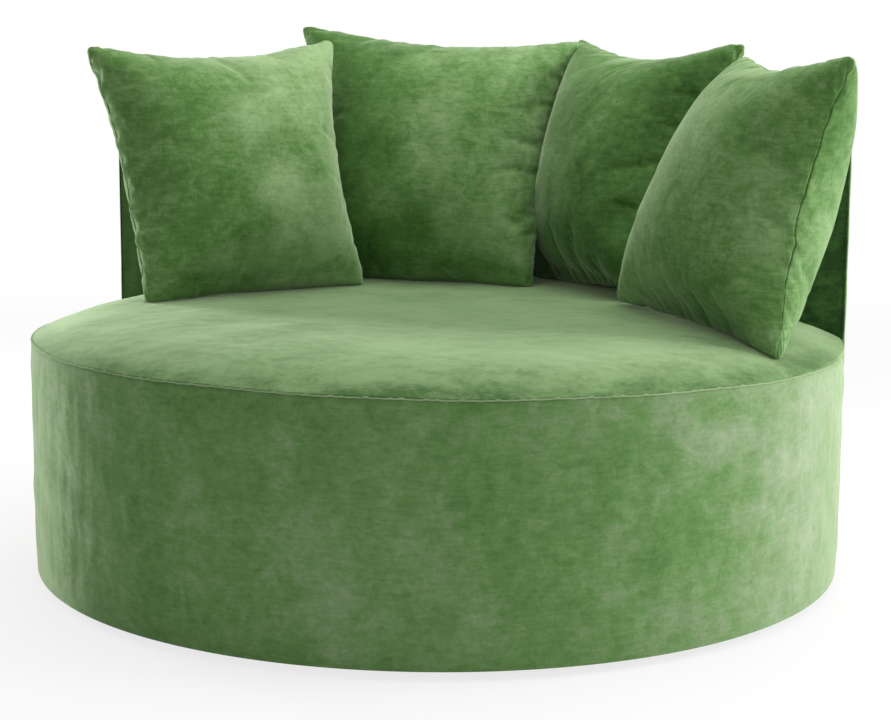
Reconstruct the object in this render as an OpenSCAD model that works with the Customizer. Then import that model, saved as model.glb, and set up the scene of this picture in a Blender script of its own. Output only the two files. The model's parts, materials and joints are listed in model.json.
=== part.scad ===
// Round swivel armchair: a drum-shaped sprung seat, a thick curved back that stands on
// the rear of the drum, and four loose scatter cushions.
// Units are millimetres. Origin: the swivel axis at floor level. The chair faces -Y.

/* [Overall] */
// Radius of the round seat base, over its cover
drum_r = 650; // [600:5:700]
// Height of the base's lower edge above the floor
drum_bottom_z = 12; // [9:1:16]
// Height of the seam round the edge of the seat
seam_z = 374; // [350:1:400]
// Rise of the seat's crown above that seam
seat_crown = 43; // [30:1:55]
// How square the seat's shoulder is: a higher number gives a flatter top
seat_shoulder = 8; // [6:1:12]

/* [Back] */
// Height of the back's top above the floor
back_top_z = 705; // [660:5:760]
// Thickness of the back, over its covers
back_t = 93; // [85:1:105]
// How far the back's outer face stands proud of the base
back_proud = 7; // [7:1:12]
// Half of the angle that the back goes round the seat
back_half_angle = 77.25; // [65:0.25:85]
// Radius of the back's top edges
back_top_round = 12; // [8:1:15]

/* [Covers and padding] */
// Thickness of the velvet, and of the dust cover
cover_t = 1.5; // [1:0.1:2]
// Wadding round the front of the base
side_wadding_t = 6; // [4:0.5:8]
// Wadding over the seat foam
seat_wadding_t = 8; // [5:0.5:12]
// Foam on the inner face of the back
back_foam_t = 12; // [10:0.5:15]
// Padding on the two ends of the back
end_pad_t = 10; // [6:0.5:14]
// Clearance left between one layer and the next
lay_gap = 0.2; // [0.1:0.05:0.3]

/* [Timber frame] */
// Thickness of the plywood rings, rails and swivel board
ply_t = 18; // [15:1:21]
// Thickness of the bent board round the base and the back
board_t = 4; // [3:0.5:5]
// Radial width of the base ring
base_ring_w = 63; // [58:1:70]
// Radial width of the seat ring
seat_ring_w = 118; // [105:1:130]
// Height of the seat deck, the top of the seat ring
deck_z = 318; // [300:1:330]
// Side of the square posts between the two rings
post_w = 45; // [40:1:50]
// Width of the bearer rails that cross the base
rail_w = 45; // [38:1:50]
// Height of the bearer rails
rail_h = 60; // [50:1:75]
// Distance from the axis to each bearer rail's middle
rail_offset = 159; // [145:1:170]
// Number of uprights inside the back, between its end posts
upright_count = 7; // [5:1:9]
// Thickness of each upright
upright_t = 25; // [20:1:30]
// Width of the two end posts inside the back
end_post_w = 45; // [35:1:55]

/* [Swivel] */
// Radius of the plinth disc that stands on the floor
plinth_r = 290; // [270:5:320]
// Thickness of each glide under the plinth
glide_t = 4; // [3:0.5:5]
// Radius of each glide
glide_r = 20; // [15:1:25]
// Distance from the axis to each glide
glide_pitch_r = 262; // [240:1:280]
// Number of glides
glide_count = 6; // [5:1:8]
// Radius of the circle of balls in the bearing
ball_circle_r = 150; // [140:1:160]
// Radius of each ball
ball_r = 4; // [3.5:0.25:5]
// Number of balls
ball_count = 24; // [18:1:36]
// Thickness of each bearing race
race_t = 8; // [7:0.5:10]
// Radial width of each race
race_w = 40; // [36:1:46]
// Gap between the two races
race_gap = 2; // [1.5:0.25:3]
// Radial play of the balls in their grooves
ball_play = 0.05; // [0.03:0.01:0.1]
// Radius of the pivot bolt's shank
pivot_r = 8; // [6:0.5:10]
// Running clearance round the pivot bolt
pivot_play = 0.08; // [0.05:0.01:0.1]

/* [Webbing] */
// Width of each webbing strap
strap_w = 50; // [40:1:60]
// Thickness of each strap
strap_t = 1.5; // [1:0.1:2]
// Number of straps in each direction
strap_count = 9; // [7:1:10]
// Distance between the middles of neighbouring straps
strap_pitch = 115; // [100:1:125]

/* [Fasteners] */
// Radius of the wood screws
screw_r = 3; // [2.5:0.25:3.5]
// Radius of the small screws in the glides and races
small_screw_r = 2; // [1.75:0.25:2.5]
// Radius of the bolts that hold the back to the base
bolt_r = 4; // [3:0.5:5]
// Number of those bolts
bolt_count = 8; // [6:1:8]
// Clearance round each screw and bolt in its hole
hole_gap = 0.2; // [0.1:0.05:0.4]

/* [Cushions] */
// Width and height of each cushion, corner to corner: a softer filling leaves it wider
cushion_w = [445, 480, 445, 445]; // [430:5:485]
// Half of each cushion's thickness at its crown
cushion_half_t = 112; // [95:1:113]
// How quickly the crown rises from the edges: a lower number is fuller
cushion_fullness = 0.45; // [0.4:0.05:0.8]
// How far the sides and the top draw in between the corners
cushion_draw_in = 31; // [20:1:36]
// How far the bottom edge draws in, where the cushion's weight spreads it
cushion_foot_draw_in = 12; // [6:1:16]
// Direction that each cushion faces, from left to right
cushion_face = [-43.5, -86, -138, -145]; // [-180:0.5:180]
// Angle that each cushion leans back from upright
cushion_lean = [19, 19.5, 19.5, 20.5]; // [15:0.5:28]
// Turn of each cushion in its own plane
cushion_roll = [1.5, -1.5, 1.5, -2]; // [-5:0.5:5]
// How far the corners of each cushion are twisted out of its plane
cushion_twist = [14, -32, -26, 33]; // [-40:1:40]
// Sideways place of each cushion, seen from where it faces
cushion_shift = [-196, -119, -114, 296]; // [-330:0.5:330]
// Rise of each cushion's foot above the seat's crown
cushion_foot_rise = [-0.8, -1, 10.1, -2]; // [-10:0.1:20]
// Distance from the back's inner face to each cushion's middle, level with the back's top
cushion_inset = [171, 138, 128.5, 139.5]; // [120:0.5:180]
// Length of the zip in each cushion's bottom seam
zip_l = 240; // [200:5:280]
// Width of the zip's tape
zip_w = 6; // [5:0.5:8]
// Thickness of the zip's tape
zip_t = 0.8; // [0.6:0.1:1]

/* [Hidden] */
$fn = 96;

// Colours
velvet = [0.45, 0.54, 0.42];
wadding = [0.93, 0.93, 0.90];
foam = [0.90, 0.86, 0.70];
plywood = [0.80, 0.66, 0.46];
timber = [0.72, 0.56, 0.36];
board = [0.62, 0.50, 0.36];
steel = [0.72, 0.73, 0.75];
nylon = [0.15, 0.15, 0.16];
webbing = [0.35, 0.30, 0.26];

// Radii of the layers, from the outside in
back_outer_r = drum_r + back_proud;
back_inner_r = back_outer_r - back_t;
back_mid_r = (back_outer_r + back_inner_r) / 2;
side_wadding_r = drum_r - cover_t - lay_gap;
side_board_r = side_wadding_r - side_wadding_t - lay_gap;
frame_r = side_board_r - board_t - lay_gap;
back_foam_r = back_inner_r + cover_t + lay_gap;
back_board_r = back_foam_r + back_foam_t + lay_gap;
back_frame_r = back_board_r + board_t + lay_gap;

// Heights of the layers
base_top_z = drum_bottom_z + cover_t + lay_gap;
post_bottom_z = base_top_z + ply_t;
seat_ring_z = deck_z - ply_t;
foam_bottom_z = deck_z + 2 * (strap_t + lay_gap) + lay_gap;
wadding_drop = cover_t + lay_gap;
wadding_bottom_drop = wadding_drop + seat_wadding_t;
foam_drop = wadding_bottom_drop + 4 * lay_gap;
back_pad_top_z = back_top_z - cover_t - lay_gap;
back_frame_top_z = back_top_z - back_top_round - cover_t - lay_gap;
top_rail_z = back_frame_top_z - ply_t;
upright_z = deck_z + ply_t;

// Half angles of the back's layers
function degrees_of(length, r) = length / r * 180 / PI;
cover_half_angle = back_half_angle - degrees_of(cover_t + lay_gap, back_inner_r);
frame_half_angle = cover_half_angle - degrees_of(end_pad_t + lay_gap, back_inner_r);
cut_half_angle = back_half_angle + degrees_of(lay_gap, back_inner_r);

// Heights of the swivel's parts
plinth_top_z = glide_t + ply_t;
lower_race_top_z = plinth_top_z + race_t;
ball_z = lower_race_top_z + race_gap / 2;
upper_race_z = lower_race_top_z + race_gap;
swivel_board_z = upper_race_z + race_t;
rail_z = swivel_board_z + ply_t;
race_inner_r = ball_circle_r - race_w / 2;
race_outer_r = ball_circle_r + race_w / 2;
race_screw_r = ball_circle_r + race_w * 0.32;
race_screw_count = 6;
small_head_r = small_screw_r + 2.5;
small_head_h = 2;
screw_head_r = screw_r + 3;
screw_head_h = 3;
pivot_head_r = pivot_r + 6;
pivot_head_h = 6;
washer_r = pivot_r + 10;
washer_t = 3;
washer_z = rail_z + 0.3;
nut_r = pivot_r + 5.5;
nut_h = 13;
swivel_board_w = 2 * (rail_offset + rail_w / 2 + 25);
board_screw_l = ply_t + 32;

// Plan places of the posts: eight stand at the rails' ends and four on the diagonals
post_margin = 1.5;
rail_post_x = sqrt(pow(frame_r - post_margin, 2) - pow(rail_offset + post_w / 2, 2)) - post_w / 2;
diagonal_post_r = sqrt(pow(frame_r - post_margin, 2) - pow(post_w / 2, 2)) - post_w / 2;
rail_end_x = rail_post_x - post_w / 2 - lay_gap / 2;
rail_screw_l = post_w + 45;
strap_end_r = back_inner_r - 1;

// Bolts that hold the back
back_bolt_r = (back_frame_r + frame_r) / 2;
bolt_head_r = bolt_r * 2.2;
bolt_head_h = 4;
head_room = 1;
nut_flange_r = bolt_r + 7;
nut_flange_t = 1.6;
nut_barrel_r = bolt_r + 1.4;
nut_barrel_h = 9;

// Cushion surface
cushion_grid = 12;
pad_gap = 0.5;
zip_coil_w = 3;
slider_w = 7;
slider_l = 10;
tab_l = 14;
tab_w = 4;
crown_z = seam_z + seat_crown;

// Height of the seat's surface at a distance r from the axis
function seat_z(r) = seam_z + seat_crown * (1 - pow(r / drum_r, seat_shoulder));

// Points along an arc in the profile plane
function arc_pts(x, z, r, from, to, steps = 6) =
    [for (i = [0:steps]) let (a = from + (to - from) * i / steps) [x + r * cos(a), z + r * sin(a)]];

// Distances from the axis at which the seat's profile is taken, closer towards the rim
seat_steps = 14;
function seat_radii(r) = [for (i = [0:seat_steps]) r * pow(i / seat_steps, 0.45)];

// One layer of the seat, between two depths below its surface, out to the radius r
module seat_layer(r, top_drop, bottom_drop) {
    radii = seat_radii(r);
    back = [for (i = [seat_steps:-1:0]) radii[i]];
    rotate_extrude()
        polygon(concat(
            [for (x = radii) [x, seat_z(x) - top_drop]],
            [for (x = back) [x, seat_z(x) - bottom_drop]]));
}

// A solid of revolution round part of a turn, from one angle to another
module sweep_arc(from, to) {
    rotate([0, 0, from])
        rotate_extrude(angle = to - from)
            children();
}

// The same, centred on the back's middle
module back_arc(half_angle) {
    sweep_arc(90 - half_angle, 90 + half_angle)
        children();
}

// The same, round the front of the base, where the back isn't
module front_arc() {
    sweep_arc(90 + cut_half_angle, 450 - cut_half_angle)
        children();
}

// A rectangle in the profile plane
module band(r0, r1, z0, z1) {
    translate([r0, z0])
        square([r1 - r0, z1 - z0]);
}

// The back's whole section, a distance d inside its surface and down to z0
module back_section(d, z0) {
    r = back_top_round - d;
    polygon(concat(
        [[back_outer_r - d, z0]],
        arc_pts(back_outer_r - back_top_round, back_top_z - back_top_round, r, 0, 90),
        arc_pts(back_inner_r + back_top_round, back_top_z - back_top_round, r, 90, 180),
        [[back_inner_r + d, z0]]));
}

// The room that the back takes out of the seat
module seat_cut() {
    back_arc(cut_half_angle)
        band(back_inner_r - lay_gap, back_outer_r + 1, deck_z - 1, crown_z + 1);
}

// Copies round a circle
module around(count, r, first = 0) {
    for (i = [0:count - 1])
        rotate([0, 0, first + 360 * i / count])
            translate([r, 0, 0])
                children();
}

// A screw that points up, its head's underside at z = 0
module screw(r, length, head_r, head_h) {
    cylinder(r = r, h = length);
    translate([0, 0, -head_h])
        cylinder(r = head_r, h = head_h);
}

// Swivel base

module floor_glides() {
    color(nylon)
        around(glide_count, glide_pitch_r, -90)
            difference() {
                cylinder(r = glide_r, h = glide_t);
                translate([0, 0, -1])
                    cylinder(r = small_screw_r + hole_gap, h = glide_t + 2);
                translate([0, 0, -1])
                    cylinder(r = small_head_r + hole_gap, h = small_head_h + 1.5);
            }
}

module glide_screws() {
    color(steel)
        around(glide_count, glide_pitch_r, -90)
            translate([0, 0, small_head_h + 0.5])
                screw(small_screw_r, glide_t + ply_t * 0.6, small_head_r, small_head_h);
}

module plinth_disc() {
    color(plywood)
        difference() {
            translate([0, 0, glide_t])
                cylinder(r = plinth_r, h = ply_t);
            around(glide_count, glide_pitch_r, -90)
                cylinder(r = small_screw_r + hole_gap, h = plinth_top_z - 1);
            around(race_screw_count, race_screw_r)
                translate([0, 0, plinth_top_z - ply_t * 0.7])
                    cylinder(r = small_screw_r + hole_gap, h = ply_t);
            cylinder(r = pivot_r + hole_gap, h = plinth_top_z + 1);
            cylinder(r = pivot_head_r + hole_gap, h = glide_t + pivot_head_h + hole_gap);
        }
}

// A race lying with its groove upwards at the height of its top face, z = 0
module race() {
    difference() {
        translate([0, 0, -race_t])
            difference() {
                cylinder(r = race_outer_r, h = race_t);
                translate([0, 0, -1])
                    cylinder(r = race_inner_r, h = race_t + 2);
            }
        translate([0, 0, race_gap / 2])
            rotate_extrude()
                translate([ball_circle_r, 0])
                    circle(r = ball_r + ball_play);
        around(race_screw_count, race_screw_r) {
            translate([0, 0, -race_t - 1])
                cylinder(r = small_screw_r + hole_gap, h = race_t + 2);
            translate([0, 0, -small_head_h - 0.5])
                cylinder(r = small_head_r + hole_gap, h = small_head_h + 1.5);
        }
    }
}

module lower_race() {
    color(steel)
        translate([0, 0, lower_race_top_z])
            race();
}

module upper_race() {
    color(steel)
        translate([0, 0, upper_race_z])
            mirror([0, 0, 1])
                race();
}

module lower_race_screws() {
    color(steel)
        around(race_screw_count, race_screw_r)
            translate([0, 0, lower_race_top_z - small_head_h - 0.5])
                mirror([0, 0, 1])
                    screw(small_screw_r, race_t - small_head_h - 1 + ply_t * 0.6, small_head_r, small_head_h);
}

module upper_race_screws() {
    color(steel)
        around(race_screw_count, race_screw_r)
            translate([0, 0, upper_race_z + small_head_h + 0.5])
                screw(small_screw_r, race_t - small_head_h - 1 + ply_t * 0.6, small_head_r, small_head_h);
}

module bearing_balls() {
    color(steel)
        around(ball_count, ball_circle_r)
            translate([0, 0, ball_z])
                sphere(r = ball_r);
}

module ball_cage() {
    cage_t = race_gap * 0.6;
    color(nylon)
        difference() {
            translate([0, 0, ball_z - cage_t / 2])
                cylinder(r = ball_circle_r + ball_r + 2, h = cage_t);
            translate([0, 0, ball_z - cage_t])
                cylinder(r = ball_circle_r - ball_r - 2, h = cage_t * 2);
            around(ball_count, ball_circle_r)
                translate([0, 0, ball_z - cage_t])
                    cylinder(r = ball_r + hole_gap, h = cage_t * 2);
        }
}

module pivot_bolt() {
    color(steel) {
        translate([0, 0, glide_t])
            cylinder(r = pivot_head_r, h = pivot_head_h);
        translate([0, 0, glide_t + pivot_head_h])
            cylinder(r = pivot_r, h = washer_z + washer_t + nut_h + 4 - glide_t - pivot_head_h);
    }
}

module pivot_washer() {
    color(steel)
        translate([0, 0, washer_z])
            difference() {
                cylinder(r = washer_r, h = washer_t);
                translate([0, 0, -1])
                    cylinder(r = pivot_r + hole_gap, h = washer_t + 2);
            }
}

module pivot_nut() {
    color(steel)
        translate([0, 0, washer_z + washer_t])
            difference() {
                cylinder(r = nut_r, h = nut_h, $fn = 6);
                translate([0, 0, -1])
                    cylinder(r = pivot_r + 0.05, h = nut_h + 2);
            }
}

// Base frame

// Plan places of the screws that hold the swivel board to the rails
module board_screw_places() {
    for (turn = [0:90:270])
        rotate([0, 0, turn])
            for (side = [-1, 1])
                translate([rail_offset, side * rail_offset / 2, 0])
                    children();
}

module swivel_board() {
    color(plywood)
        difference() {
            translate([-swivel_board_w / 2, -swivel_board_w / 2, swivel_board_z])
                cube([swivel_board_w, swivel_board_w, ply_t]);
            translate([0, 0, swivel_board_z - 1])
                cylinder(r = pivot_r + pivot_play, h = ply_t + 2);
            around(race_screw_count, race_screw_r)
                translate([0, 0, swivel_board_z - 1])
                    cylinder(r = small_screw_r + hole_gap, h = ply_t * 0.7 + 1);
            board_screw_places()
                translate([0, 0, swivel_board_z - 1]) {
                    cylinder(r = screw_r + hole_gap, h = ply_t + 2);
                    cylinder(r = screw_head_r + hole_gap, h = screw_head_h + 1.5);
                }
        }
}

module swivel_board_screws() {
    color(steel)
        board_screw_places()
            translate([0, 0, swivel_board_z + screw_head_h + 0.5])
                screw(screw_r, board_screw_l - screw_head_h, screw_head_r, screw_head_h);
}

// One pair of bearer rails along X, with its half laps on the side named by top_lap
module rail_pair(top_lap) {
    lap_z = top_lap ? rail_z + rail_h / 2 : rail_z - 1;
    difference() {
        for (side = [-1, 1])
            translate([-rail_end_x, side * rail_offset - rail_w / 2, rail_z])
                cube([2 * rail_end_x, rail_w, rail_h]);
        for (sx = [-1, 1], sy = [-1, 1])
            translate([sx * rail_offset - rail_w / 2 - lay_gap, sy * rail_offset - rail_w, lap_z])
                cube([rail_w + 2 * lay_gap, 2 * rail_w, rail_h / 2 + 1]);
        board_screw_places()
            translate([0, 0, rail_z - 1])
                cylinder(r = screw_r + hole_gap, h = board_screw_l - ply_t + 3);
        for (end = [-1, 1], side = [-1, 1], level = [0.3, 0.7])
            translate([end * (rail_end_x + 1), side * rail_offset, rail_z + rail_h * level])
                rotate([0, -90 * end, 0])
                    cylinder(r = screw_r + hole_gap, h = rail_screw_l - post_w + 3);
    }
}

module long_bearer_rails() {
    color(timber)
        rotate([0, 0, 90])
            rail_pair(true);
}

module cross_bearer_rails() {
    color(timber)
        rail_pair(false);
}

// Screws through the posts into the rails' ends
module rail_screw_places() {
    for (turn = [0:90:270])
        rotate([0, 0, turn])
            for (side = [-1, 1], level = [0.3, 0.7])
                translate([rail_post_x + post_w / 2, side * rail_offset, rail_z + rail_h * level])
                    rotate([0, -90, 0])
                        children();
}

module rail_screws() {
    color(steel)
        rail_screw_places()
            screw(screw_r, rail_screw_l, screw_head_r, screw_head_h);
}

// A plywood ring round the frame, from z up
module ply_ring(width, z) {
    translate([0, 0, z])
        difference() {
            cylinder(r = frame_r, h = ply_t);
            translate([0, 0, -1])
                cylinder(r = frame_r - width, h = ply_t + 2);
        }
}

module base_ring() {
    color(plywood)
        ply_ring(base_ring_w, base_top_z);
}

// The posts have holes for the rails' screws and, on top, room for the heads of the back's bolts
module base_posts() {
    post_h = seat_ring_z - post_bottom_z;
    color(timber)
        difference() {
            union() {
                for (turn = [0:90:270], side = [-1, 1])
                    rotate([0, 0, turn])
                        translate([rail_post_x - post_w / 2, side * rail_offset - post_w / 2, post_bottom_z])
                            cube([post_w, post_w, post_h]);
                for (turn = [45:90:315])
                    rotate([0, 0, turn])
                        translate([diagonal_post_r - post_w / 2, -post_w / 2, post_bottom_z])
                            cube([post_w, post_w, post_h]);
            }
            rail_screw_places()
                translate([0, 0, -1])
                    cylinder(r = screw_r + hole_gap, h = post_w + 2);
            back_bolt_places()
                translate([0, 0, seat_ring_z - bolt_head_h - head_room])
                    cylinder(r = bolt_head_r + head_room, h = bolt_head_h + 2 * head_room);
        }
}

// Places of the bolts that hold the back, spread along its arc between the uprights
module back_bolt_places() {
    step = 2 * frame_half_angle / (upright_count + 1);
    for (i = [0:bolt_count - 1])
        rotate([0, 0, 90 + step * (i - (bolt_count - 1) / 2)])
            translate([back_bolt_r, 0, 0])
                children();
}

module seat_ring() {
    color(plywood)
        difference() {
            ply_ring(seat_ring_w, seat_ring_z);
            back_bolt_places()
                translate([0, 0, seat_ring_z - 1])
                    cylinder(r = bolt_r + hole_gap, h = ply_t + 2);
        }
}

module front_board() {
    color(board)
        front_arc()
            band(side_board_r - board_t, side_board_r, base_top_z, deck_z);
}

module front_wadding() {
    color(wadding)
        front_arc()
            band(side_wadding_r - side_wadding_t, side_wadding_r, base_top_z, seam_z - foam_drop);
}

module front_cover() {
    color(velvet)
        front_arc()
            band(drum_r - cover_t, drum_r, drum_bottom_z, seam_z - cover_t - lay_gap);
}

module dust_cover() {
    color(nylon)
        translate([0, 0, drum_bottom_z])
            difference() {
                cylinder(r = side_wadding_r, h = cover_t);
                translate([0, 0, -1])
                    cylinder(r = plinth_r + 6, h = cover_t + 2);
            }
}

// Straps along X across the seat ring, at the height z
module strap_row(z) {
    for (i = [0:strap_count - 1]) {
        y = strap_pitch * (i - (strap_count - 1) / 2);
        half_l = sqrt(pow(strap_end_r, 2) - pow(abs(y) + strap_w / 2, 2));
        translate([-half_l, y - strap_w / 2, z])
            cube([2 * half_l, strap_w, strap_t]);
    }
}

module long_webbing() {
    color(webbing)
        rotate([0, 0, 90])
            strap_row(deck_z);
}

module cross_webbing() {
    color(webbing)
        strap_row(deck_z + strap_t + lay_gap);
}

// Seat

module seat_foam() {
    color(foam)
        difference() {
            rotate_extrude()
                polygon(concat(
                    [[0, foam_bottom_z], [side_board_r, foam_bottom_z]],
                    [for (i = [seat_steps:-1:0])
                        let (x = seat_radii(side_board_r)[i]) [x, seat_z(x) - foam_drop]]));
            seat_cut();
        }
}

module seat_wadding() {
    color(wadding)
        difference() {
            seat_layer(side_wadding_r, wadding_drop, wadding_bottom_drop);
            seat_cut();
        }
}

module seat_cover() {
    color(velvet)
        difference() {
            seat_layer(drum_r, 0, cover_t);
            seat_cut();
        }
}

// Back

module back_bottom_rail() {
    color(plywood)
        difference() {
            back_arc(frame_half_angle)
                band(back_frame_r, frame_r, deck_z, upright_z);
            back_bolt_places() {
                translate([0, 0, deck_z - 1])
                    cylinder(r = bolt_r + hole_gap, h = ply_t + 2);
                translate([0, 0, upright_z - nut_barrel_h - hole_gap])
                    cylinder(r = nut_barrel_r + hole_gap, h = nut_barrel_h + 1);
            }
        }
}

module back_top_rail() {
    color(plywood)
        back_arc(frame_half_angle)
            band(back_frame_r, frame_r, top_rail_z, back_frame_top_z);
}

// An upright of the width w at an angle from the back's middle
module upright(angle, w) {
    outer = sqrt(pow(frame_r, 2) - pow(w / 2, 2)) - 0.1;
    rotate([0, 0, 90 + angle])
        translate([back_frame_r, -w / 2, upright_z])
            cube([outer - back_frame_r, w, top_rail_z - upright_z]);
}

module back_uprights() {
    step = 2 * frame_half_angle / (upright_count + 1);
    color(timber)
        for (i = [1:upright_count])
            upright(step * i - frame_half_angle, upright_t);
}

module back_end_posts() {
    angle = frame_half_angle - asin(end_post_w / 2 / back_frame_r);
    color(timber)
        for (side = [-1, 1])
            upright(side * angle, end_post_w);
}

module back_inner_board() {
    color(board)
        back_arc(frame_half_angle)
            band(back_board_r, back_board_r + board_t, deck_z, back_frame_top_z);
}

module back_outer_board() {
    color(board)
        back_arc(frame_half_angle)
            band(side_board_r - board_t, side_board_r, base_top_z, back_frame_top_z);
}

module back_inner_foam() {
    color(foam)
        back_arc(frame_half_angle)
            band(back_foam_r, back_foam_r + back_foam_t, deck_z, back_frame_top_z);
}

module back_top_foam() {
    color(foam)
        back_arc(frame_half_angle)
            back_section(cover_t + lay_gap, back_frame_top_z + lay_gap);
}

module back_outer_wadding() {
    color(wadding)
        back_arc(cover_half_angle)
            band(side_board_r + lay_gap, back_outer_r - cover_t - lay_gap, base_top_z,
                back_frame_top_z);
}

module back_inside_cover() {
    top = back_top_z;
    round_r = back_top_round;
    color(velvet)
        back_arc(cover_half_angle)
            polygon(concat(
                [[back_inner_r, deck_z]],
                arc_pts(back_inner_r + round_r, top - round_r, round_r, 180, 90),
                [[back_mid_r - lay_gap, top], [back_mid_r - lay_gap, top - cover_t]],
                arc_pts(back_inner_r + round_r, top - round_r, round_r - cover_t, 90, 180),
                [[back_inner_r + cover_t, deck_z]]));
}

module back_outside_cover() {
    top = back_top_z;
    round_r = back_top_round;
    color(velvet)
        back_arc(cover_half_angle)
            polygon(concat(
                [[back_outer_r, drum_bottom_z]],
                arc_pts(back_outer_r - round_r, top - round_r, round_r, 0, 90),
                [[back_mid_r, top], [back_mid_r, top - cover_t]],
                arc_pts(back_outer_r - round_r, top - round_r, round_r - cover_t, 90, 0),
                [[back_outer_r - cover_t, drum_bottom_z]]));
}

module back_end_pads() {
    color(foam)
        for (side = [0, 1])
            mirror([side, 0, 0])
                sweep_arc(90 + frame_half_angle + degrees_of(lay_gap, back_inner_r), 90 + cover_half_angle)
                    polygon([
                        [back_foam_r, deck_z],
                        [frame_r, deck_z],
                        [frame_r, back_frame_top_z],
                        [back_foam_r, back_frame_top_z]]);
}

module back_end_covers() {
    color(velvet)
        for (side = [0, 1])
            mirror([side, 0, 0])
                sweep_arc(90 + cover_half_angle + degrees_of(lay_gap, back_inner_r), 90 + back_half_angle) {
                    back_section(0, deck_z);
                    band(drum_r + lay_gap, back_outer_r, drum_bottom_z, deck_z + 1);
                }
}

module back_bolts() {
    color(steel)
        back_bolt_places()
            translate([0, 0, seat_ring_z])
                screw(bolt_r, 2 * ply_t + nut_flange_t + 3, bolt_head_r, bolt_head_h);
}

module back_nuts() {
    color(steel)
        back_bolt_places()
            difference() {
                union() {
                    translate([0, 0, upright_z])
                        cylinder(r = nut_flange_r, h = nut_flange_t);
                    translate([0, 0, upright_z - nut_barrel_h])
                        cylinder(r = nut_barrel_r, h = nut_barrel_h + 0.5);
                }
                translate([0, 0, upright_z - nut_barrel_h - 1])
                    cylinder(r = bolt_r + 0.05, h = nut_barrel_h + nut_flange_t + 2);
            }
}

// Cushions

// Grid lines run from -1 to 1 and crowd towards the edges
function grid_at(i) = sin(90 * (2 * i / cushion_grid - 1));

// A point on a cushion's surface. u and v run from -1 to 1 across it and up it, side is 1 for
// the front and -1 for the back, and inset shrinks the whole form
function cushion_pt(k, u, v, side, inset) =
    let (w = cushion_w[k] / 2 - inset,
        draw_v = v > 0 ? cushion_draw_in : cushion_foot_draw_in,
        full = max(0, (1 - u * u) * (1 - v * v)),
        rise = full > 0.000001 ? pow(full, cushion_fullness) : 0)
    [u * (w - cushion_draw_in * (1 - v * v)),
        v * (w - draw_v * (1 - u * u)),
        side * (cushion_half_t - inset) * rise + cushion_twist[k] * u * v];

// Both faces share the points of the seam, so only the front has them
function front_index(i, j) = i * (cushion_grid + 1) + j;
function on_seam(i, j) = i == 0 || j == 0 || i == cushion_grid || j == cushion_grid;
function back_index(i, j) = on_seam(i, j) ? front_index(i, j)
    : pow(cushion_grid + 1, 2) + (i - 1) * (cushion_grid - 1) + j - 1;

// Each cell of the grid is two triangles, cut along the diagonal that runs to the near corner
function to_corner(i, j) = (i < cushion_grid / 2) == (j < cushion_grid / 2);
function cell(a, b, c, d, diagonal) = diagonal ? [[a, c, b], [a, d, c]] : [[a, d, b], [b, d, c]];

module cushion_form(k, inset) {
    n = cushion_grid;
    front = [for (i = [0:n], j = [0:n]) cushion_pt(k, grid_at(i), grid_at(j), 1, inset)];
    back = [for (i = [1:n - 1], j = [1:n - 1]) cushion_pt(k, grid_at(i), grid_at(j), -1, inset)];
    front_faces = [for (i = [0:n - 1], j = [0:n - 1])
        each cell(front_index(i, j), front_index(i + 1, j), front_index(i + 1, j + 1),
            front_index(i, j + 1), to_corner(i, j))];
    back_faces = [for (i = [0:n - 1], j = [0:n - 1])
        each cell(back_index(i, j), back_index(i, j + 1), back_index(i + 1, j + 1),
            back_index(i + 1, j), to_corner(i, j))];
    polyhedron(points = concat(front, back), faces = concat(front_faces, back_faces));
}

// Carries a cushion, drawn upright about its own middle, to its place against the back
module cushion_place(k) {
    lean = cushion_lean[k];
    face = cushion_face[k];
    middle_z = crown_z + cushion_foot_rise[k] + cushion_w[k] / 2 * cos(lean);
    behind = back_inner_r - cushion_inset[k] - (back_top_z - middle_z) * tan(lean);
    translate([
        -behind * cos(face) - cushion_shift[k] * sin(face),
        -behind * sin(face) + cushion_shift[k] * cos(face),
        middle_z])
        rotate([90 - lean, 0, face + 90])
            rotate([0, 0, cushion_roll[k]])
                children();
}

module cushion_cover(k) {
    color(velvet)
        cushion_place(k)
            difference() {
                cushion_form(k, 0);
                cushion_form(k, cover_t);
            }
}

module cushion_pad(k) {
    color(wadding)
        cushion_place(k)
            cushion_form(k, cover_t + pad_gap);
}

// A closed zip just under the bottom seam: tape, coil, slider and its pull tab
module cushion_zip(k) {
    reach = zip_l / cushion_w[k];
    edge_y = cushion_w[k] / 2 - cushion_foot_draw_in * (1 - reach * reach) + lay_gap;
    color(nylon)
        cushion_place(k)
            rotate([0, asin(cushion_twist[k] / (cushion_w[k] / 2)), 0])
                translate([0, -edge_y, 0]) {
                    translate([-zip_l / 2, -zip_t, -zip_w / 2])
                        cube([zip_l, zip_t, zip_w]);
                    translate([-zip_l / 2, -2 * zip_t, -zip_coil_w / 2])
                        cube([zip_l, 1.5 * zip_t, zip_coil_w]);
                    translate([zip_l / 2 - slider_l - 5, -2.5 * zip_t, -slider_w / 2])
                        cube([slider_l, 2 * zip_t, slider_w]);
                    translate([zip_l / 2 - slider_l - tab_l, -3 * zip_t, -tab_w / 2])
                        cube([tab_l, zip_t, tab_w]);
                }
}

module left_cushion_cover() { cushion_cover(0); }
module left_cushion_pad() { cushion_pad(0); }
module left_cushion_zip() { cushion_zip(0); }
module mid_left_cushion_cover() { cushion_cover(1); }
module mid_left_cushion_pad() { cushion_pad(1); }
module mid_left_cushion_zip() { cushion_zip(1); }
module mid_right_cushion_cover() { cushion_cover(2); }
module mid_right_cushion_pad() { cushion_pad(2); }
module mid_right_cushion_zip() { cushion_zip(2); }
module right_cushion_cover() { cushion_cover(3); }
module right_cushion_pad() { cushion_pad(3); }
module right_cushion_zip() { cushion_zip(3); }

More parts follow.
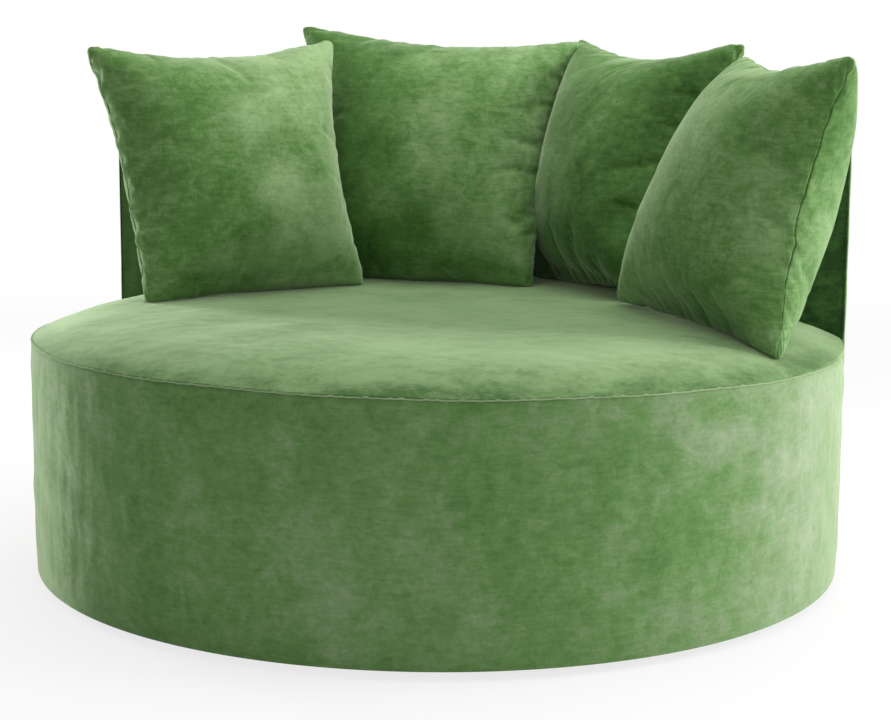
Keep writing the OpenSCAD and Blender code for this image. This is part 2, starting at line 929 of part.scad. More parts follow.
floor_glides();
glide_screws();
plinth_disc();
lower_race();
lower_race_screws();
bearing_balls();
ball_cage();
pivot_bolt();
pivot_washer();
pivot_nut();
upper_race();
upper_race_screws();
swivel_board();
swivel_board_screws();
long_bearer_rails();
cross_bearer_rails();
rail_screws();
base_ring();
base_posts();
seat_ring();
front_board();
front_wadding();
front_cover();
dust_cover();
long_webbing();
cross_webbing();
seat_foam();
seat_wadding();
seat_cover();
back_bottom_rail();
back_top_rail();
back_uprights();
back_end_posts();
back_inner_board();
back_outer_board();
back_inner_foam();
back_top_foam();
back_outer_wadding();
back_inside_cover();
back_outside_cover();
back_end_pads();
back_end_covers();
back_bolts();
back_nuts();
left_cushion_cover();
left_cushion_pad();
left_cushion_zip();
mid_left_cushion_cover();
mid_left_cushion_pad();
mid_left_cushion_zip();
mid_right_cushion_cover();
mid_right_cushion_pad();
mid_right_cushion_zip();
right_cushion_cover();
right_cushion_pad();
right_cushion_zip();
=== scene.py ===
# %% [markdown]
# # A round swivel armchair in green velvet
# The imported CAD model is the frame: rings, rails, webbing, foam and a swivel, each where it is in
# the real chair. Over it this script lays what the eye meets: stretched velvet, seams and four
# stuffed cushions. Lengths are metres, +Z is up and the chair faces -Y.

# %% Load the frame
import json
import math
import bmesh
import bpy
import numpy as np
from mathutils import Matrix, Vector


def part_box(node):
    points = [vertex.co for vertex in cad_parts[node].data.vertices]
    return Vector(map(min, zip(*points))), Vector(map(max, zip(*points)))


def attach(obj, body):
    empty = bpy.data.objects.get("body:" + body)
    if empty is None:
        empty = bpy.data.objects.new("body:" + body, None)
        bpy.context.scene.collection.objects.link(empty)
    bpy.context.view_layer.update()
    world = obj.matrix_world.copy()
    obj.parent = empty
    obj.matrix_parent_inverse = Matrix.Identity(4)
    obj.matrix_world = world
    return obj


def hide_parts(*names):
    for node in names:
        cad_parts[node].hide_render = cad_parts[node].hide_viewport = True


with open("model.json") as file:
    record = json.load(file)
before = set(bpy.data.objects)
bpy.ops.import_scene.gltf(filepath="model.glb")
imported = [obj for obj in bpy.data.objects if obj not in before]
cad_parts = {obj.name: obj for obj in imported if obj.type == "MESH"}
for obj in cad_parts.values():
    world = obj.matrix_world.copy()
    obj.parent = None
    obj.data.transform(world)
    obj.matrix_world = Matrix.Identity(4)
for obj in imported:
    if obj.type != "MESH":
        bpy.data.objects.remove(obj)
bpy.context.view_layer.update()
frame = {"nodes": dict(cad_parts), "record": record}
nodes = frame["nodes"]
scene = bpy.context.scene

# %% [markdown]
# ## The chair's main sizes
# These repeat the sizes of the CAD source. Every cover is worked out from them, so that a cover
# sits on the padding that carries it.

# %% Sizes
drum_r = 0.650
drum_bottom = 0.012
crown_z = 0.417
seam_level = 0.374
shoulder_power = 8
back_in = 0.564
back_out = 0.657
back_top = 0.705
back_round = 0.012
back_half = math.radians(77.25)
deck_z = 0.318
cloth_t = 0.0015
back_from = math.pi / 2 - back_half
back_to = math.pi / 2 + back_half


def seam_z(az):
    """Height of the seat's seam at the angle az: a level ring tipped by a few millimetres, with a
    slow wave of under a millimetre, because the cover is pulled on by hand."""
    tip = 0.3706 - 0.0033 * np.cos(az) - 0.0122 * np.sin(az)
    return tip + 0.0007 * np.sin(7 * az + 1.0) + 0.0005 * np.sin(17 * az)


def seat_z(x, y):
    """Height of the seat's surface: the crown, less the drop to the seam times (r / R) to a high
    power, which makes a flat top and a tight shoulder. It never sinks into the wadding, whose rim
    is level."""
    seam = np.maximum(seam_z(np.arctan2(y, x)), seam_level + 0.0004)
    return crown_z - (crown_z - seam) * np.minimum(np.hypot(x, y) / drum_r, 1) ** shoulder_power


print("seam:", [round(float(seam_z(math.radians(a))), 4) for a in (-180, -135, -90, -45, 0)])

# %% [markdown]
# ## Helpers for surfaces
# A piece of upholstery is a sheet, so each is a grid of points: a function of two parameters,
# worked out as whole arrays. A grid becomes a mesh of four-sided faces. Points that fall together,
# as at the middle of a disc, are merged afterwards.

# %% From a grid of points to a mesh


def grid_faces(rows, cols, close_cols=False):
    """Corner numbers of the four-sided faces between the rows and columns of a grid."""
    i = np.arange(rows - 1)[:, None]
    j = np.arange(cols if close_cols else cols - 1)[None, :]
    i2, j2 = i + 1, (j + 1) % cols
    return np.stack([i * cols + j, i2 * cols + j, i2 * cols + j2, i * cols + j2], -1).reshape(-1, 4)


def new_piece(name, verts, faces, merge=1e-6):
    """A mesh object at the origin, with doubled points merged, its faces outwards and smooth. A
    closed mesh is turned right side out if its signed volume is negative. With merge at None no
    points are merged, so they keep their numbers."""
    mesh = bpy.data.meshes.new(name)
    mesh.from_pydata(verts.reshape(-1, 3).tolist(), [], faces.tolist())
    bm = bmesh.new()
    bm.from_mesh(mesh)
    if merge is not None:
        bmesh.ops.remove_doubles(bm, verts=bm.verts, dist=merge)
        bmesh.ops.dissolve_degenerate(bm, edges=bm.edges, dist=merge)
    bmesh.ops.recalc_face_normals(bm, faces=bm.faces)
    bm.to_mesh(mesh)
    closed = len(mesh.loops) == 2 * len(mesh.edges)
    if closed and bm.calc_volume(signed=True) < 0:
        mesh.flip_normals()
    bm.free()
    mesh.polygons.foreach_set("use_smooth", np.ones(len(mesh.polygons), bool))
    piece = bpy.data.objects.new(name, mesh)
    scene.collection.objects.link(piece)
    print(name, len(mesh.vertices), "points", len(mesh.polygons), "faces")
    return piece


def face_out(piece, centre):
    """Turns an open sheet so that its faces point away from a point inside the object."""
    mesh = piece.data
    n = len(mesh.polygons)
    normal, middle = np.empty(n * 3), np.empty(n * 3)
    mesh.polygons.foreach_get("normal", normal)
    mesh.polygons.foreach_get("center", middle)
    away = middle.reshape(-1, 3) - np.array(centre)
    if (normal.reshape(-1, 3) * away).sum() < 0:
        mesh.flip_normals()


def around(r, az, z):
    """Points from their distance to the chair's axis, their angle round it and their height."""
    return np.stack([r * np.cos(az), r * np.sin(az), z], -1)


def points_of(mesh):
    """A mesh's points as an array."""
    co = np.empty(len(mesh.vertices) * 3)
    mesh.vertices.foreach_get("co", co)
    return co.reshape(-1, 3)


def mark(piece, name, values):
    """Writes one number to each point of a piece, for its material to read."""
    data = piece.data.attributes.new(name, "FLOAT", "POINT")
    data.data.foreach_set("value", np.asarray(values, float).ravel())


def thicken(piece, thickness):
    """Gives an open sheet the cloth's thickness on its inner side, with its edges closed."""
    wall = piece.modifiers.new("cloth", "SOLIDIFY")
    wall.thickness = thickness
    wall.offset = -1
    return piece


# %% [markdown]
# ## Slow waves for cloth over padding
# Stretched cloth is never a perfect surface. A sum of about two dozen plane waves with random
# directions gives soft hills of a chosen size. The random numbers are seeded, so that every run
# gives the same chair.

# %% Random hills


def hills(a, b, seed, shortest, longest, count=24):
    """A smooth field over the lengths a and b, from about -1 to 1: the sum of plane waves whose
    wavelengths lie between shortest and longest."""
    rng = np.random.default_rng(seed)
    turn = rng.uniform(0, 2 * np.pi, count)
    size = 2 * np.pi / np.exp(rng.uniform(np.log(shortest), np.log(longest), count))
    start = rng.uniform(0, 2 * np.pi, count)
    waves = np.sin(a[..., None] * (size * np.cos(turn)) + b[..., None] * (size * np.sin(turn)) + start)
    return waves.sum(-1) / math.sqrt(count / 2) / 1.6


def ease(x):
    """0 below 0, 1 above 1 and a smooth step between them."""
    x = np.clip(x, 0, 1)
    return x * x * (3 - 2 * x)


print("hills: ready")

# %% [markdown]
# ## Velvet
# Velvet is a short dense pile. Where the pile lies one way it looks light, the other
# way dark, so the cloth is mottled at several sizes at once. At a grazing angle the tips of the
# pile catch the light and the cloth goes pale: that is the sheen of the shader. The mottling is
# noise at three sizes with level streaks among it, read from Object coordinates, so that it runs on
# over a seam and stays with a piece that moves. A very fine noise gives the pile its grain, and a
# mesh can bring a mark of its own that shifts the colour: partly the lie of the pile, partly
# painted light and shade. The seat and the seam get lighter copies of the velvet as painted light,
# and the back a darker one as painted shade.

# %% Small helpers for shader nodes


def lin(r, g, b):
    """A colour written as 0 to 255 on a screen, as the linear numbers that the shader reads."""
    c = np.array([r, g, b]) / 255
    return (*np.where(c <= 0.04045, c / 12.92, ((c + 0.055) / 1.055) ** 2.4).tolist(), 1.0)


def noise(tree, vector, scale, detail=4.0, rough=0.55, twist=0.0):
    """A noise texture that reads the given vector."""
    node = tree.nodes.new("ShaderNodeTexNoise")
    node.inputs["Scale"].default_value = scale
    node.inputs["Detail"].default_value = detail
    node.inputs["Roughness"].default_value = rough
    node.inputs["Distortion"].default_value = twist
    tree.links.new(vector, node.inputs["Vector"])
    return node.outputs["Fac"]


def sums(tree, a, b, how="ADD", factor=None):
    """One sum of two or three values, each a socket or a number."""
    node = tree.nodes.new("ShaderNodeMath")
    node.operation = how
    for socket, value in zip(node.inputs, (a, b, factor)):
        if value is None:
            continue
        if isinstance(value, (int, float)):
            socket.default_value = value
        else:
            tree.links.new(value, socket)
    return node.outputs[0]


def mark_of(tree, name):
    """The number that the mesh brings at its points under a name."""
    node = tree.nodes.new("ShaderNodeAttribute")
    node.attribute_name = name
    return node.outputs["Fac"]


def stretched(tree, size):
    """Object coordinates, stretched."""
    coords = tree.nodes.new("ShaderNodeTexCoord")
    mapping = tree.nodes.new("ShaderNodeMapping")
    mapping.inputs["Scale"].default_value = size
    tree.links.new(coords.outputs["Object"], mapping.inputs["Vector"])
    return mapping.outputs["Vector"]


def ramp(tree, value, stops):
    """A colour ramp: stops are (place, colour)."""
    node = tree.nodes.new("ShaderNodeValToRGB")
    band = node.color_ramp
    for _ in stops[2:]:
        band.elements.new(0.5)
    for element, (place, colour) in zip(band.elements, stops):
        element.position = place
        element.color = colour
    tree.links.new(value, node.inputs["Fac"])
    return node.outputs["Color"]


def bump(tree, height, distance, strength=1.0, over=None):
    """Turns a height into a small tilt of the surface."""
    node = tree.nodes.new("ShaderNodeBump")
    node.inputs["Distance"].default_value = distance
    node.inputs["Strength"].default_value = strength
    tree.links.new(height, node.inputs["Height"])
    if over is not None:
        tree.links.new(over, node.inputs["Normal"])
    return node.outputs["Normal"]


def blank(name):
    """A new material with a Principled shader, and its node tree."""
    material = bpy.data.materials.new(name)
    material.use_nodes = True
    tree = material.node_tree
    return material, tree, tree.nodes["Principled BSDF"]


print("node helpers: ready; mid grey is", round(lin(128, 128, 128)[0], 3))

# %% [markdown]
# The velvet itself adds up the noises, each with its share, and a ramp turns the sum into colour.
# The sheen's weight, roughness and tint are the same all over, so they are set on the shader.

# %% A velvet material


def velvet(name, dark, mid, light, patch=6.0, contrast=0.10, relief=0.0016, sheen=0.9, marks=()):
    """Velvet whose colour runs from dark to light with the lie of its pile. patch is the number of
    large patches to a metre, contrast is how much of the noise's range the ramp takes in (less is
    stronger), and relief is the height of the pressed marks. marks names the attributes that the
    mesh brings: seam darkens the groove of the stitches as painted shade, and nap_and_painted_light
    shifts the colour, partly for the lie of the pile and partly as painted light and shade."""
    material, tree, shader = blank(name)
    here = stretched(tree, (1, 1, 1))
    large = noise(tree, here, patch, 4, 0.55, 0.7)
    blotch = noise(tree, here, patch * 3.4, 8, 0.66, 1.3)
    crushed = noise(tree, here, patch * 12, 8, 0.74, 0.9)
    streaks = noise(tree, stretched(tree, (34, 34, 190)), 1.0, 6, 0.70, 0.4)
    pile = noise(tree, here, 800, 2, 0.6)
    # The mesh's mark starts the sum: partly the lie of the pile, partly painted light and shade.
    nap_and_light = mark_of(tree, "nap_and_painted_light") if "nap_and_painted_light" in marks else 0.0
    for value, share in ((large, 0.27), (blotch, 0.23), (crushed, 0.24), (streaks, 0.19), (pile, 0.07)):
        nap_and_light = sums(tree, value, share, "MULTIPLY_ADD", nap_and_light)
    colour = ramp(tree, nap_and_light, [(0.5 - contrast, dark), (0.5, mid), (0.5 + 1.3 * contrast, light)])
    # Painted shade: along the seam mark the colour is mixed towards a dark green, as shade in the groove.
    if "seam" in marks:
        shade = tree.nodes.new("ShaderNodeMix")
        shade.data_type = "RGBA"
        shade.inputs["B"].default_value = tuple(0.45 * c for c in dark[:3]) + (1.0,)
        tree.links.new(sums(tree, mark_of(tree, "seam"), 0.5, "MULTIPLY"), shade.inputs["Factor"])
        tree.links.new(colour, shade.inputs["A"])
        colour = shade.outputs["Result"]
    tree.links.new(colour, shader.inputs["Base Color"])
    shader.inputs["Roughness"].default_value = 0.92
    shader.inputs["Specular IOR Level"].default_value = 0.12
    shader.inputs["Sheen Weight"].default_value = sheen
    shader.inputs["Sheen Roughness"].default_value = 0.32
    shader.inputs["Sheen Tint"].default_value = lin(216, 236, 196)
    soft = bump(tree, crushed, relief, 0.6)
    tree.links.new(bump(tree, pile, 0.0005, 0.5, over=soft), shader.inputs["Normal"])
    return material


# %% The chair's velvets
# Painted light: the seat's velvet is a lighter copy of the same green, for the light that falls on it from
# above.
seat_velvet = velvet("seat_velvet", lin(64, 98, 48), lin(115, 144, 95), lin(140, 163, 122), 5.0, 0.15,
                     relief=0.0005, sheen=0.8, marks=("nap_and_painted_light",))
side_velvet = velvet("side_velvet", lin(68, 106, 51), lin(100, 136, 79), lin(147, 162, 131), 6.0, 0.14,
                     marks=("nap_and_painted_light",))
cushion_velvet = velvet("cushion_velvet", lin(48, 84, 33), lin(87, 125, 65), lin(142, 170, 120), 6.0, 0.14,
                        marks=("nap_and_painted_light", "seam"))
# Painted shade: the back's velvet, on its inside, its ends and its seams, is a darker copy of the same green,
# for the shade inside the back.
back_velvet = velvet("back_velvet", lin(34, 60, 25), lin(60, 95, 45), lin(86, 119, 67), 6.0, 0.12,
                     marks=("nap_and_painted_light",))
# Painted highlight: the seam's velvet is a paler copy of the same green, for the light caught along the
# ridge.
seam_velvet = velvet("seam_velvet", lin(120, 150, 100), lin(140, 166, 120), lin(162, 186, 142), 20.0, 0.12)
print("velvet:", [m.name for m in bpy.data.materials if "velvet" in m.name])

# %% [markdown]
# ## The seat's cover
# The seat is a disc of velvet pulled over foam and sewn to the side along a round seam. Behind, it
# is tucked down between the foam and the back. It is a grid of rings and spokes. Each ring stops
# at the back's inner face, so that behind the back's ends the outer rings fall together.

# %% Seat cover
stand_out = 0.0003


def seat_wrinkles(x, y):
    """Small heights of the seat's surface: slow hills, and faint ripples that fade at the rim.
    They only stand out from the wadding and never sink into it."""
    inside = ease((drum_r - np.hypot(x, y)) / 0.08)
    slow = 0.0009 * (1 + hills(x, y * 1.3, 11, 0.14, 0.45))
    fine = 0.0002 * (1 + hills(x, y * 2, 12, 0.03, 0.09))
    return stand_out + inside * np.maximum(slow + fine, 0)


def seat_cover():
    """Rings and spokes: each point lies at the ring's radius, or at the back's inner face if that
    comes first, at the height of the seat. The last rings turn down into the seam or the tuck."""
    spokes = np.concatenate([
        np.linspace(back_to + 0.0006, back_from + 2 * np.pi - 0.0006, 300),
        np.linspace(back_from + 2 * np.pi + 0.0006, back_to + 2 * np.pi - 0.0006, 200)])
    t = np.linspace(0, 1, 96)
    rings = drum_r * (1 - (1 - t) ** 1.35)
    front = (spokes < back_from + 2 * np.pi)[None, :]
    reach = np.where(front, drum_r, back_in - 0.0006)
    r = np.minimum(rings[:, None], reach)
    az = np.broadcast_to(spokes[None, :], r.shape)
    x, y = r * np.cos(az), r * np.sin(az)
    z = seat_z(x, y) + seat_wrinkles(x, y)
    tuck = np.where(front, 0, 1) * np.exp(-((reach - r) / 0.009) ** 2)
    z = z - 0.010 * tuck
    rim = z[-1:]
    seam = np.minimum(seam_z(az[:1]), rim)
    wrap = np.linspace(0.15, 1, 4)[:, None]
    tucks = np.array([0.0012, 0.0026, 0.0034])[:, None]
    over_r = drum_r + np.concatenate([0.0008 * np.sin(np.pi * wrap), -np.array([[0.001], [0.004], [0.008]])])
    over_z = np.concatenate([rim + (seam - rim) * wrap - 0.0004 * wrap, seam - tucks])
    crevice = np.linspace(0.15, 1, 7)[:, None]
    r2 = np.where(front, over_r, reach)
    z2 = np.where(front, over_z, rim - 0.030 * crevice ** 1.3)
    return np.concatenate([np.stack([x, y, z], -1), around(r2, az[:7], z2)])


points = seat_cover()
seat = new_piece("seat_velvet_top", points, grid_faces(*points.shape[:2], close_cols=True), 2e-6)
face_out(seat, (0, 0, 0.2))
thicken(seat, cloth_t)
seat.data.materials.append(seat_velvet)
at = points_of(seat.data)
# Painted shade: a darker band round the seat's shoulder, where the cover turns down to the seam.
shoulder = ease((np.hypot(at[:, 0], at[:, 1]) - 0.600) / 0.045)
mark(seat, "nap_and_painted_light", -0.08 * shoulder * (1 + 0.6 * hills(at[:, 0], at[:, 1], 15, 0.10, 0.40)))
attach(seat, "chair")
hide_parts("seat_cover")

# %% [markdown]
# ## The drum's side
# One length of velvet is stretched round the front of the drum over wadding. Its top edge is sewn
# to the seat and its bottom edge is turned under and stapled. Cloth that is pulled round a drum
# shows faint upright drags and slow hills.

# %% Side cover
foot_round = 0.0025
hem_lift = 0.0006


def side_cover():
    """Carries one profile, bottom to top, round the front: under edge, rounded foot, wall, and a
    small turn inwards at the seam. The wall bulges by a millimetre or two and has slow hills."""
    az = np.linspace(back_to + 0.0008, back_from + 2 * np.pi - 0.0008, 420)[None, :]
    up = np.linspace(0, 1, 60)[:, None]
    top = seam_z(az) - 0.0016
    wall_z = drum_bottom + 0.0008 + foot_round + (top - 0.003 - drum_bottom - foot_round) * up
    turn = np.linspace(-np.pi / 2, 0, 7)[:, None]
    foot_r = drum_r + stand_out - foot_round + foot_round * np.cos(turn) + 0 * az
    foot_z = drum_bottom + 0.0008 + foot_round + foot_round * np.sin(turn) + 0 * az
    arc = az * drum_r
    inside = ease(np.minimum(up, 1 - up) / 0.12)
    slow = 0.0011 * (1 + hills(arc + 0 * up, wall_z * 1.2, 21, 0.07, 0.34))
    drags = 0.0004 * (1 + hills(arc * 3 + 0 * up, wall_z, 22, 0.05, 0.2))
    wall_r = drum_r + stand_out + inside * np.maximum(slow + drags, 0)
    rim_r = drum_r - np.array([0.0010, 0.0035, 0.0080])[:, None] + 0 * az
    rim_z = top + np.array([-0.0010, 0.0002, 0.0004])[:, None] + 0 * az
    under_r = drum_r - np.array([0.030, 0.018])[:, None] + 0 * az
    under_z = drum_bottom + hem_lift + np.zeros((2, 1)) + 0 * az
    r = np.concatenate([under_r, foot_r, wall_r, rim_r])
    return around(r, az, np.concatenate([under_z, foot_z, wall_z, rim_z]))


points = side_cover()
side = new_piece("drum_velvet_side", points, grid_faces(*points.shape[:2]))
face_out(side, (0, 0, 0.2))
thicken(side, cloth_t)
side.data.materials.append(side_velvet)
# Painted light: the mark makes the drum's side paler towards the right, where the right lamp grazes it, and
# along its far left, where the low left lamp does.
at = points_of(side.data)
az = np.degrees(np.arctan2(at[:, 1], at[:, 0]))
az = np.where(az > 90, az - 360, az) + 5 * hills(at[:, 0], at[:, 2], 25, 0.06, 0.30)
mark(side, "nap_and_painted_light", 0.13 * ease((az + 55) / 42) + 0.07 * ease((-126 - az) / 27))
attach(side, "chair")
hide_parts("front_cover")

# %% [markdown]
# ## The seam round the seat
# The two cloths are sewn edge to edge, and the allowance behind the stitches lifts the seam into
# a low round ridge that catches the light. A ring of points carried along the seam's path makes
# it. The same helper makes the seams of the back.

# %% A seam as a thin ridge


def ridge(name, path, radius, up=(0, 0, 1), sides=8):
    """Carries a circle along a path. At each point two directions across the path are worked out
    from its tangent and from a direction that the path never takes. At the ends the circle
    shrinks to a point, so the ridge is closed."""
    ahead = np.gradient(path, axis=0)
    ahead /= np.linalg.norm(ahead, axis=1, keepdims=True)
    across = np.cross(ahead, np.array(up, float))
    across /= np.linalg.norm(across, axis=1, keepdims=True)
    over = np.cross(across, ahead)
    turn = np.linspace(0, 2 * np.pi, sides, endpoint=False)
    size = np.full(len(path), float(radius))
    size[[0, -1]] = 0
    ring = across[:, None] * np.cos(turn)[None, :, None] + over[:, None] * np.sin(turn)[None, :, None]
    points = path[:, None] + ring * size[:, None, None]
    return new_piece(name, points, grid_faces(*points.shape[:2], close_cols=True))


az = np.linspace(back_to + 0.003, back_from + 2 * np.pi - 0.003, 700)
puckers = 0.00025 * np.sin(az * 260) + 0.0002 * np.sin(az * 97 + 1)
seam_r = drum_r - 0.0004
seat_seam = ridge("seat_seam", around(seam_r, az, seam_z(az) - 0.0012 + puckers), 0.0015)
seat_seam.data.materials.append(seam_velvet)
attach(seat_seam, "chair")

# %% [markdown]
# ## The back's covers
# The back is a thick wall bent round the rear of the drum. Its inside and outside covers meet in a
# seam along the top, and a narrow panel is let in at each end. At an end every face draws in along
# a small quarter circle, because the foam under it has a square corner, and the outside cover is
# then folded round the corner and tucked in.

# %% Back covers
mid_r = (back_in + back_out) / 2
end_round = 0.0025
spread = end_round * (1 - np.cos(np.linspace(0, np.pi / 2, 7))) / back_in
between = np.linspace(back_from + spread[-1], back_to - spread[-1], 260)[1:-1]
back_az = np.concatenate([back_from + spread, between, (back_to - spread)[::-1]])[None, :]
folded_az = np.concatenate([[[back_from] * 2], back_az, [[back_to] * 2]], 1)
fold = np.zeros(folded_az.shape)
fold[0, [0, 1, -2, -1]] = 0.0065, 0.0030, 0.0030, 0.0065


def drawn_in(az):
    """How far the faces draw in near an end: a quarter circle over the last few millimetres."""
    s = np.minimum(az - back_from, back_to - az) * back_in
    s = np.clip(s / end_round, 0, 1)
    return end_round * (1 - np.sqrt(np.maximum(1 - (1 - s) ** 2, 0)))


def corner(centre_r, centre_z, radius, start, stop, steps=9):
    """Points of a rounded edge in the plane of radius and height."""
    turn = np.linspace(start, stop, steps)[:, None]
    return centre_r + radius * np.cos(turn), centre_z + radius * np.sin(turn)


def slow_wave(az, r, z, seed):
    """Soft hills over a face of the back, which only stand out from it."""
    return 0.0010 * np.maximum(1 + hills(az * r + 0 * z, z, seed, 0.09, 0.4), 0)


def half_lid(face_r, way, inset):
    """Half of the top, from a face to the seam in the middle: it runs level and dips at the seam.
    way is 1 from the outer face and -1 from the inner one."""
    r = np.array([face_r - way * 0.026, mid_r + way * 0.012, mid_r + way * 0.004, mid_r + way * 0.0008])
    return r[:, None], back_top + np.array([0.0008, 0.0010, 0.0002, -0.0022])[:, None] - inset


def outside_cover():
    """Profile, bottom to top: under edge, foot, wall, rounded top edge and half of the top. Near
    an end the whole profile shrinks by the inset, and the last columns are the fold."""
    az = folded_az
    inset = drawn_in(az) + fold
    z = np.linspace(drum_bottom + 0.0034, back_top - back_round, 56)[:, None]
    wave = slow_wave(az, back_out, z, 31) * ease((back_top - z) / 0.1) * ease((z - drum_bottom) / 0.05)
    wall = back_out + stand_out + wave - inset
    foot_r, foot_z = corner(back_out + stand_out - foot_round, drum_bottom + 0.0031, foot_round,
                            -np.pi / 2, 0, 6)
    top_r, top_z = corner(back_out - back_round, back_top - back_round, back_round + stand_out - inset,
                          0, np.pi / 2)
    lid_r, lid_z = half_lid(back_out, 1, inset)
    under_r, under_z = np.array([[back_out - 0.030]]), np.array([[drum_bottom + hem_lift]])
    r = np.concatenate([part + 0 * az for part in (under_r, foot_r - inset, wall, top_r, lid_r)])
    h = np.concatenate([part + 0 * az for part in (under_z, foot_z, z, top_z, lid_z)])
    return around(r, az, h)


def inside_cover():
    """Profile, bottom to top: it starts below the seat, runs up the inner face, over the edge and
    to the seam along the top."""
    inset = drawn_in(back_az)
    z = np.linspace(deck_z + 0.004, back_top - back_round, 48)[:, None]
    wall = back_in - stand_out - slow_wave(back_az, back_in, z, 33) * ease((back_top - z) / 0.1) + inset
    top_r, top_z = corner(back_in + back_round, back_top - back_round, back_round + stand_out - inset,
                          np.pi, np.pi / 2)
    lid_r, lid_z = half_lid(back_in, -1, inset)
    r = np.concatenate([part + 0 * back_az for part in (wall, top_r, lid_r)])
    h = np.concatenate([part + 0 * back_az for part in (z, top_z, lid_z)])
    return around(r, back_az, h)


for name, maker, node in (("back_velvet_outside", outside_cover, "back_outside_cover"),
                          ("back_velvet_inside", inside_cover, "back_inside_cover")):
    points = maker()
    cover = new_piece(name, points, grid_faces(*points.shape[:2]))
    face_out(cover, (0, 0, 0.2) if "outside" in name else (0, 30, 0.2))
    thicken(cover, cloth_t)
    at = points_of(cover.data)
    az = np.arctan2(at[:, 1], at[:, 0])
    if "outside" in name:
        cover.data.materials.append(side_velvet)
        # Painted sheen: the outside is paler towards both ends, where the lamps graze it, and a little darker
        # elsewhere.
        mark(cover, "nap_and_painted_light", 0.06 * ease(1 - np.minimum(az - back_from, back_to - az) / 0.5) - 0.02)
    else:
        cover.data.materials.append(back_velvet)
        mark(cover, "nap_and_painted_light", 0 * az)
    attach(cover, "chair")
    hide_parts(node)

# %% [markdown]
# ## The back's end panels
# Each end panel is a strip of velvet from the seat to the top, between the two covers. It is a
# little full in the middle, where the padding pushes it out, and its top corners are rounded.

# %% End panels


def end_panel(side):
    """A grid across and up the end. Across, the panel swells by a sine; near the top its half
    width shrinks along a circle, so the corners are round."""
    across = np.linspace(-1, 1, 17)[None, :]
    up = (1 - (1 - np.linspace(0, 1, 60)) ** 1.4)[:, None]
    low, high = deck_z + 0.01, back_top - end_round
    z = low + (high - low) * up + 0 * across
    half = (back_out - back_in) / 2 - end_round + 0.0006
    corner_r = back_round - end_round
    near = np.clip((z - (high - corner_r)) / corner_r, 0, 1)
    half = half - corner_r * (1 - np.sqrt(np.maximum(1 - near ** 2, 0)))
    r = mid_r + across * half
    swell = 0.0020 * (1 - across ** 2) * ease((high - z) / 0.03)
    swell = swell + 0.0005 * hills(r * 2, z, 41 + side, 0.05, 0.2)
    swell = np.maximum(swell * (1 - across ** 8), 0) + stand_out
    az_end = back_from if side > 0 else back_to
    out = np.array([math.sin(az_end), -math.cos(az_end)]) * (1 if side > 0 else -1)
    x = r * math.cos(az_end) + out[0] * swell
    y = r * math.sin(az_end) + out[1] * swell
    return np.stack([x, y, z], -1)


def joined(name, grids):
    """Several grids as one mesh."""
    verts, faces, base = [], [], 0
    for points in grids:
        verts.append(points.reshape(-1, 3))
        faces.append(grid_faces(*points.shape[:2]) + base)
        base += len(verts[-1])
    return new_piece(name, np.concatenate(verts), np.concatenate(faces))


ends = joined("back_velvet_ends", [end_panel(1), end_panel(-1)])
face_out(ends, (0, 0.6, 0.5))
thicken(ends, cloth_t)
ends.data.materials.append(back_velvet)
# Painted shade and light: the right end panel is darker and the left one lighter.
mark(ends, "nap_and_painted_light", np.where(points_of(ends.data)[:, 0] > 0, -0.12, 0.05))
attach(ends, "chair")
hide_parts("back_end_covers")

# %% [markdown]
# ## The back's seams
# Where two covers of the back meet, the allowance behind the stitches lifts the seam into a low
# ridge, as it does round the seat. One seam runs along the top. Another goes up and over each end
# panel and on down the joint between the back's cover and the drum's.

# %% Seams of the back


def end_path(side):
    """Up the inner edge of an end panel, over its rounded top, and down the outer edge and the
    joint below it. The path lies in the plane of the end, so it is drawn there as distance from
    the middle of the wall and height."""
    half = (back_out - back_in) / 2 - end_round + 0.0006
    high, bend = back_top - end_round + 0.0004, back_round - end_round
    turn = np.linspace(np.pi, np.pi / 2, 8)[1:-1]
    inner = np.stack([np.full(60, -half), np.linspace(0.385, high - bend, 60)], -1)
    first = np.stack([-half + bend + bend * np.cos(turn), high - bend + bend * np.sin(turn)], -1)
    lid = np.stack([np.linspace(bend - half, half - bend, 20), np.full(20, high)], -1)
    outer = np.stack([np.full(140, half), np.linspace(high - bend, drum_bottom + 0.004, 140)], -1)
    aside, z = np.concatenate([inner, first, lid, first[::-1] * (-1, 1), outer]).T
    r = mid_r + aside - 0.0036 * ease((0.382 - z) / 0.02) * (aside > 0)
    az = back_from if side > 0 else back_to
    out = np.array([math.sin(az), -math.cos(az)]) * side
    x, y = r * math.cos(az) + 0.0004 * out[0], r * math.sin(az) + 0.0004 * out[1]
    return np.stack([x, y, z], -1), (*out, 0)


az = np.linspace(back_from + 0.004, back_to - 0.004, 420)
height = np.minimum(back_top - 0.0016, back_top + 0.0002 - drawn_in(az))
ridges = [ridge("back_seam_top", around(mid_r, az, height), 0.0016)]
for name, side in (("back_seam_right", 1), ("back_seam_left", -1)):
    path, across = end_path(side)
    ridges.append(ridge(name, path, 0.0017, across))
for piece in ridges:
    piece.data.materials.append(back_velvet)
    mark(piece, "nap_and_painted_light", np.full(len(piece.data.vertices), -0.05))
    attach(piece, "chair")

# %% [markdown]
# ## The dust cover
# Under the drum a black cloth closes the frame. It is cut as a ring, pulled flat and stapled along
# both edges, so it hangs by a millimetre between them and shows small pleats where each staple
# pulls.

# %% Dust cover
dust_in, dust_out = 0.297, 0.647


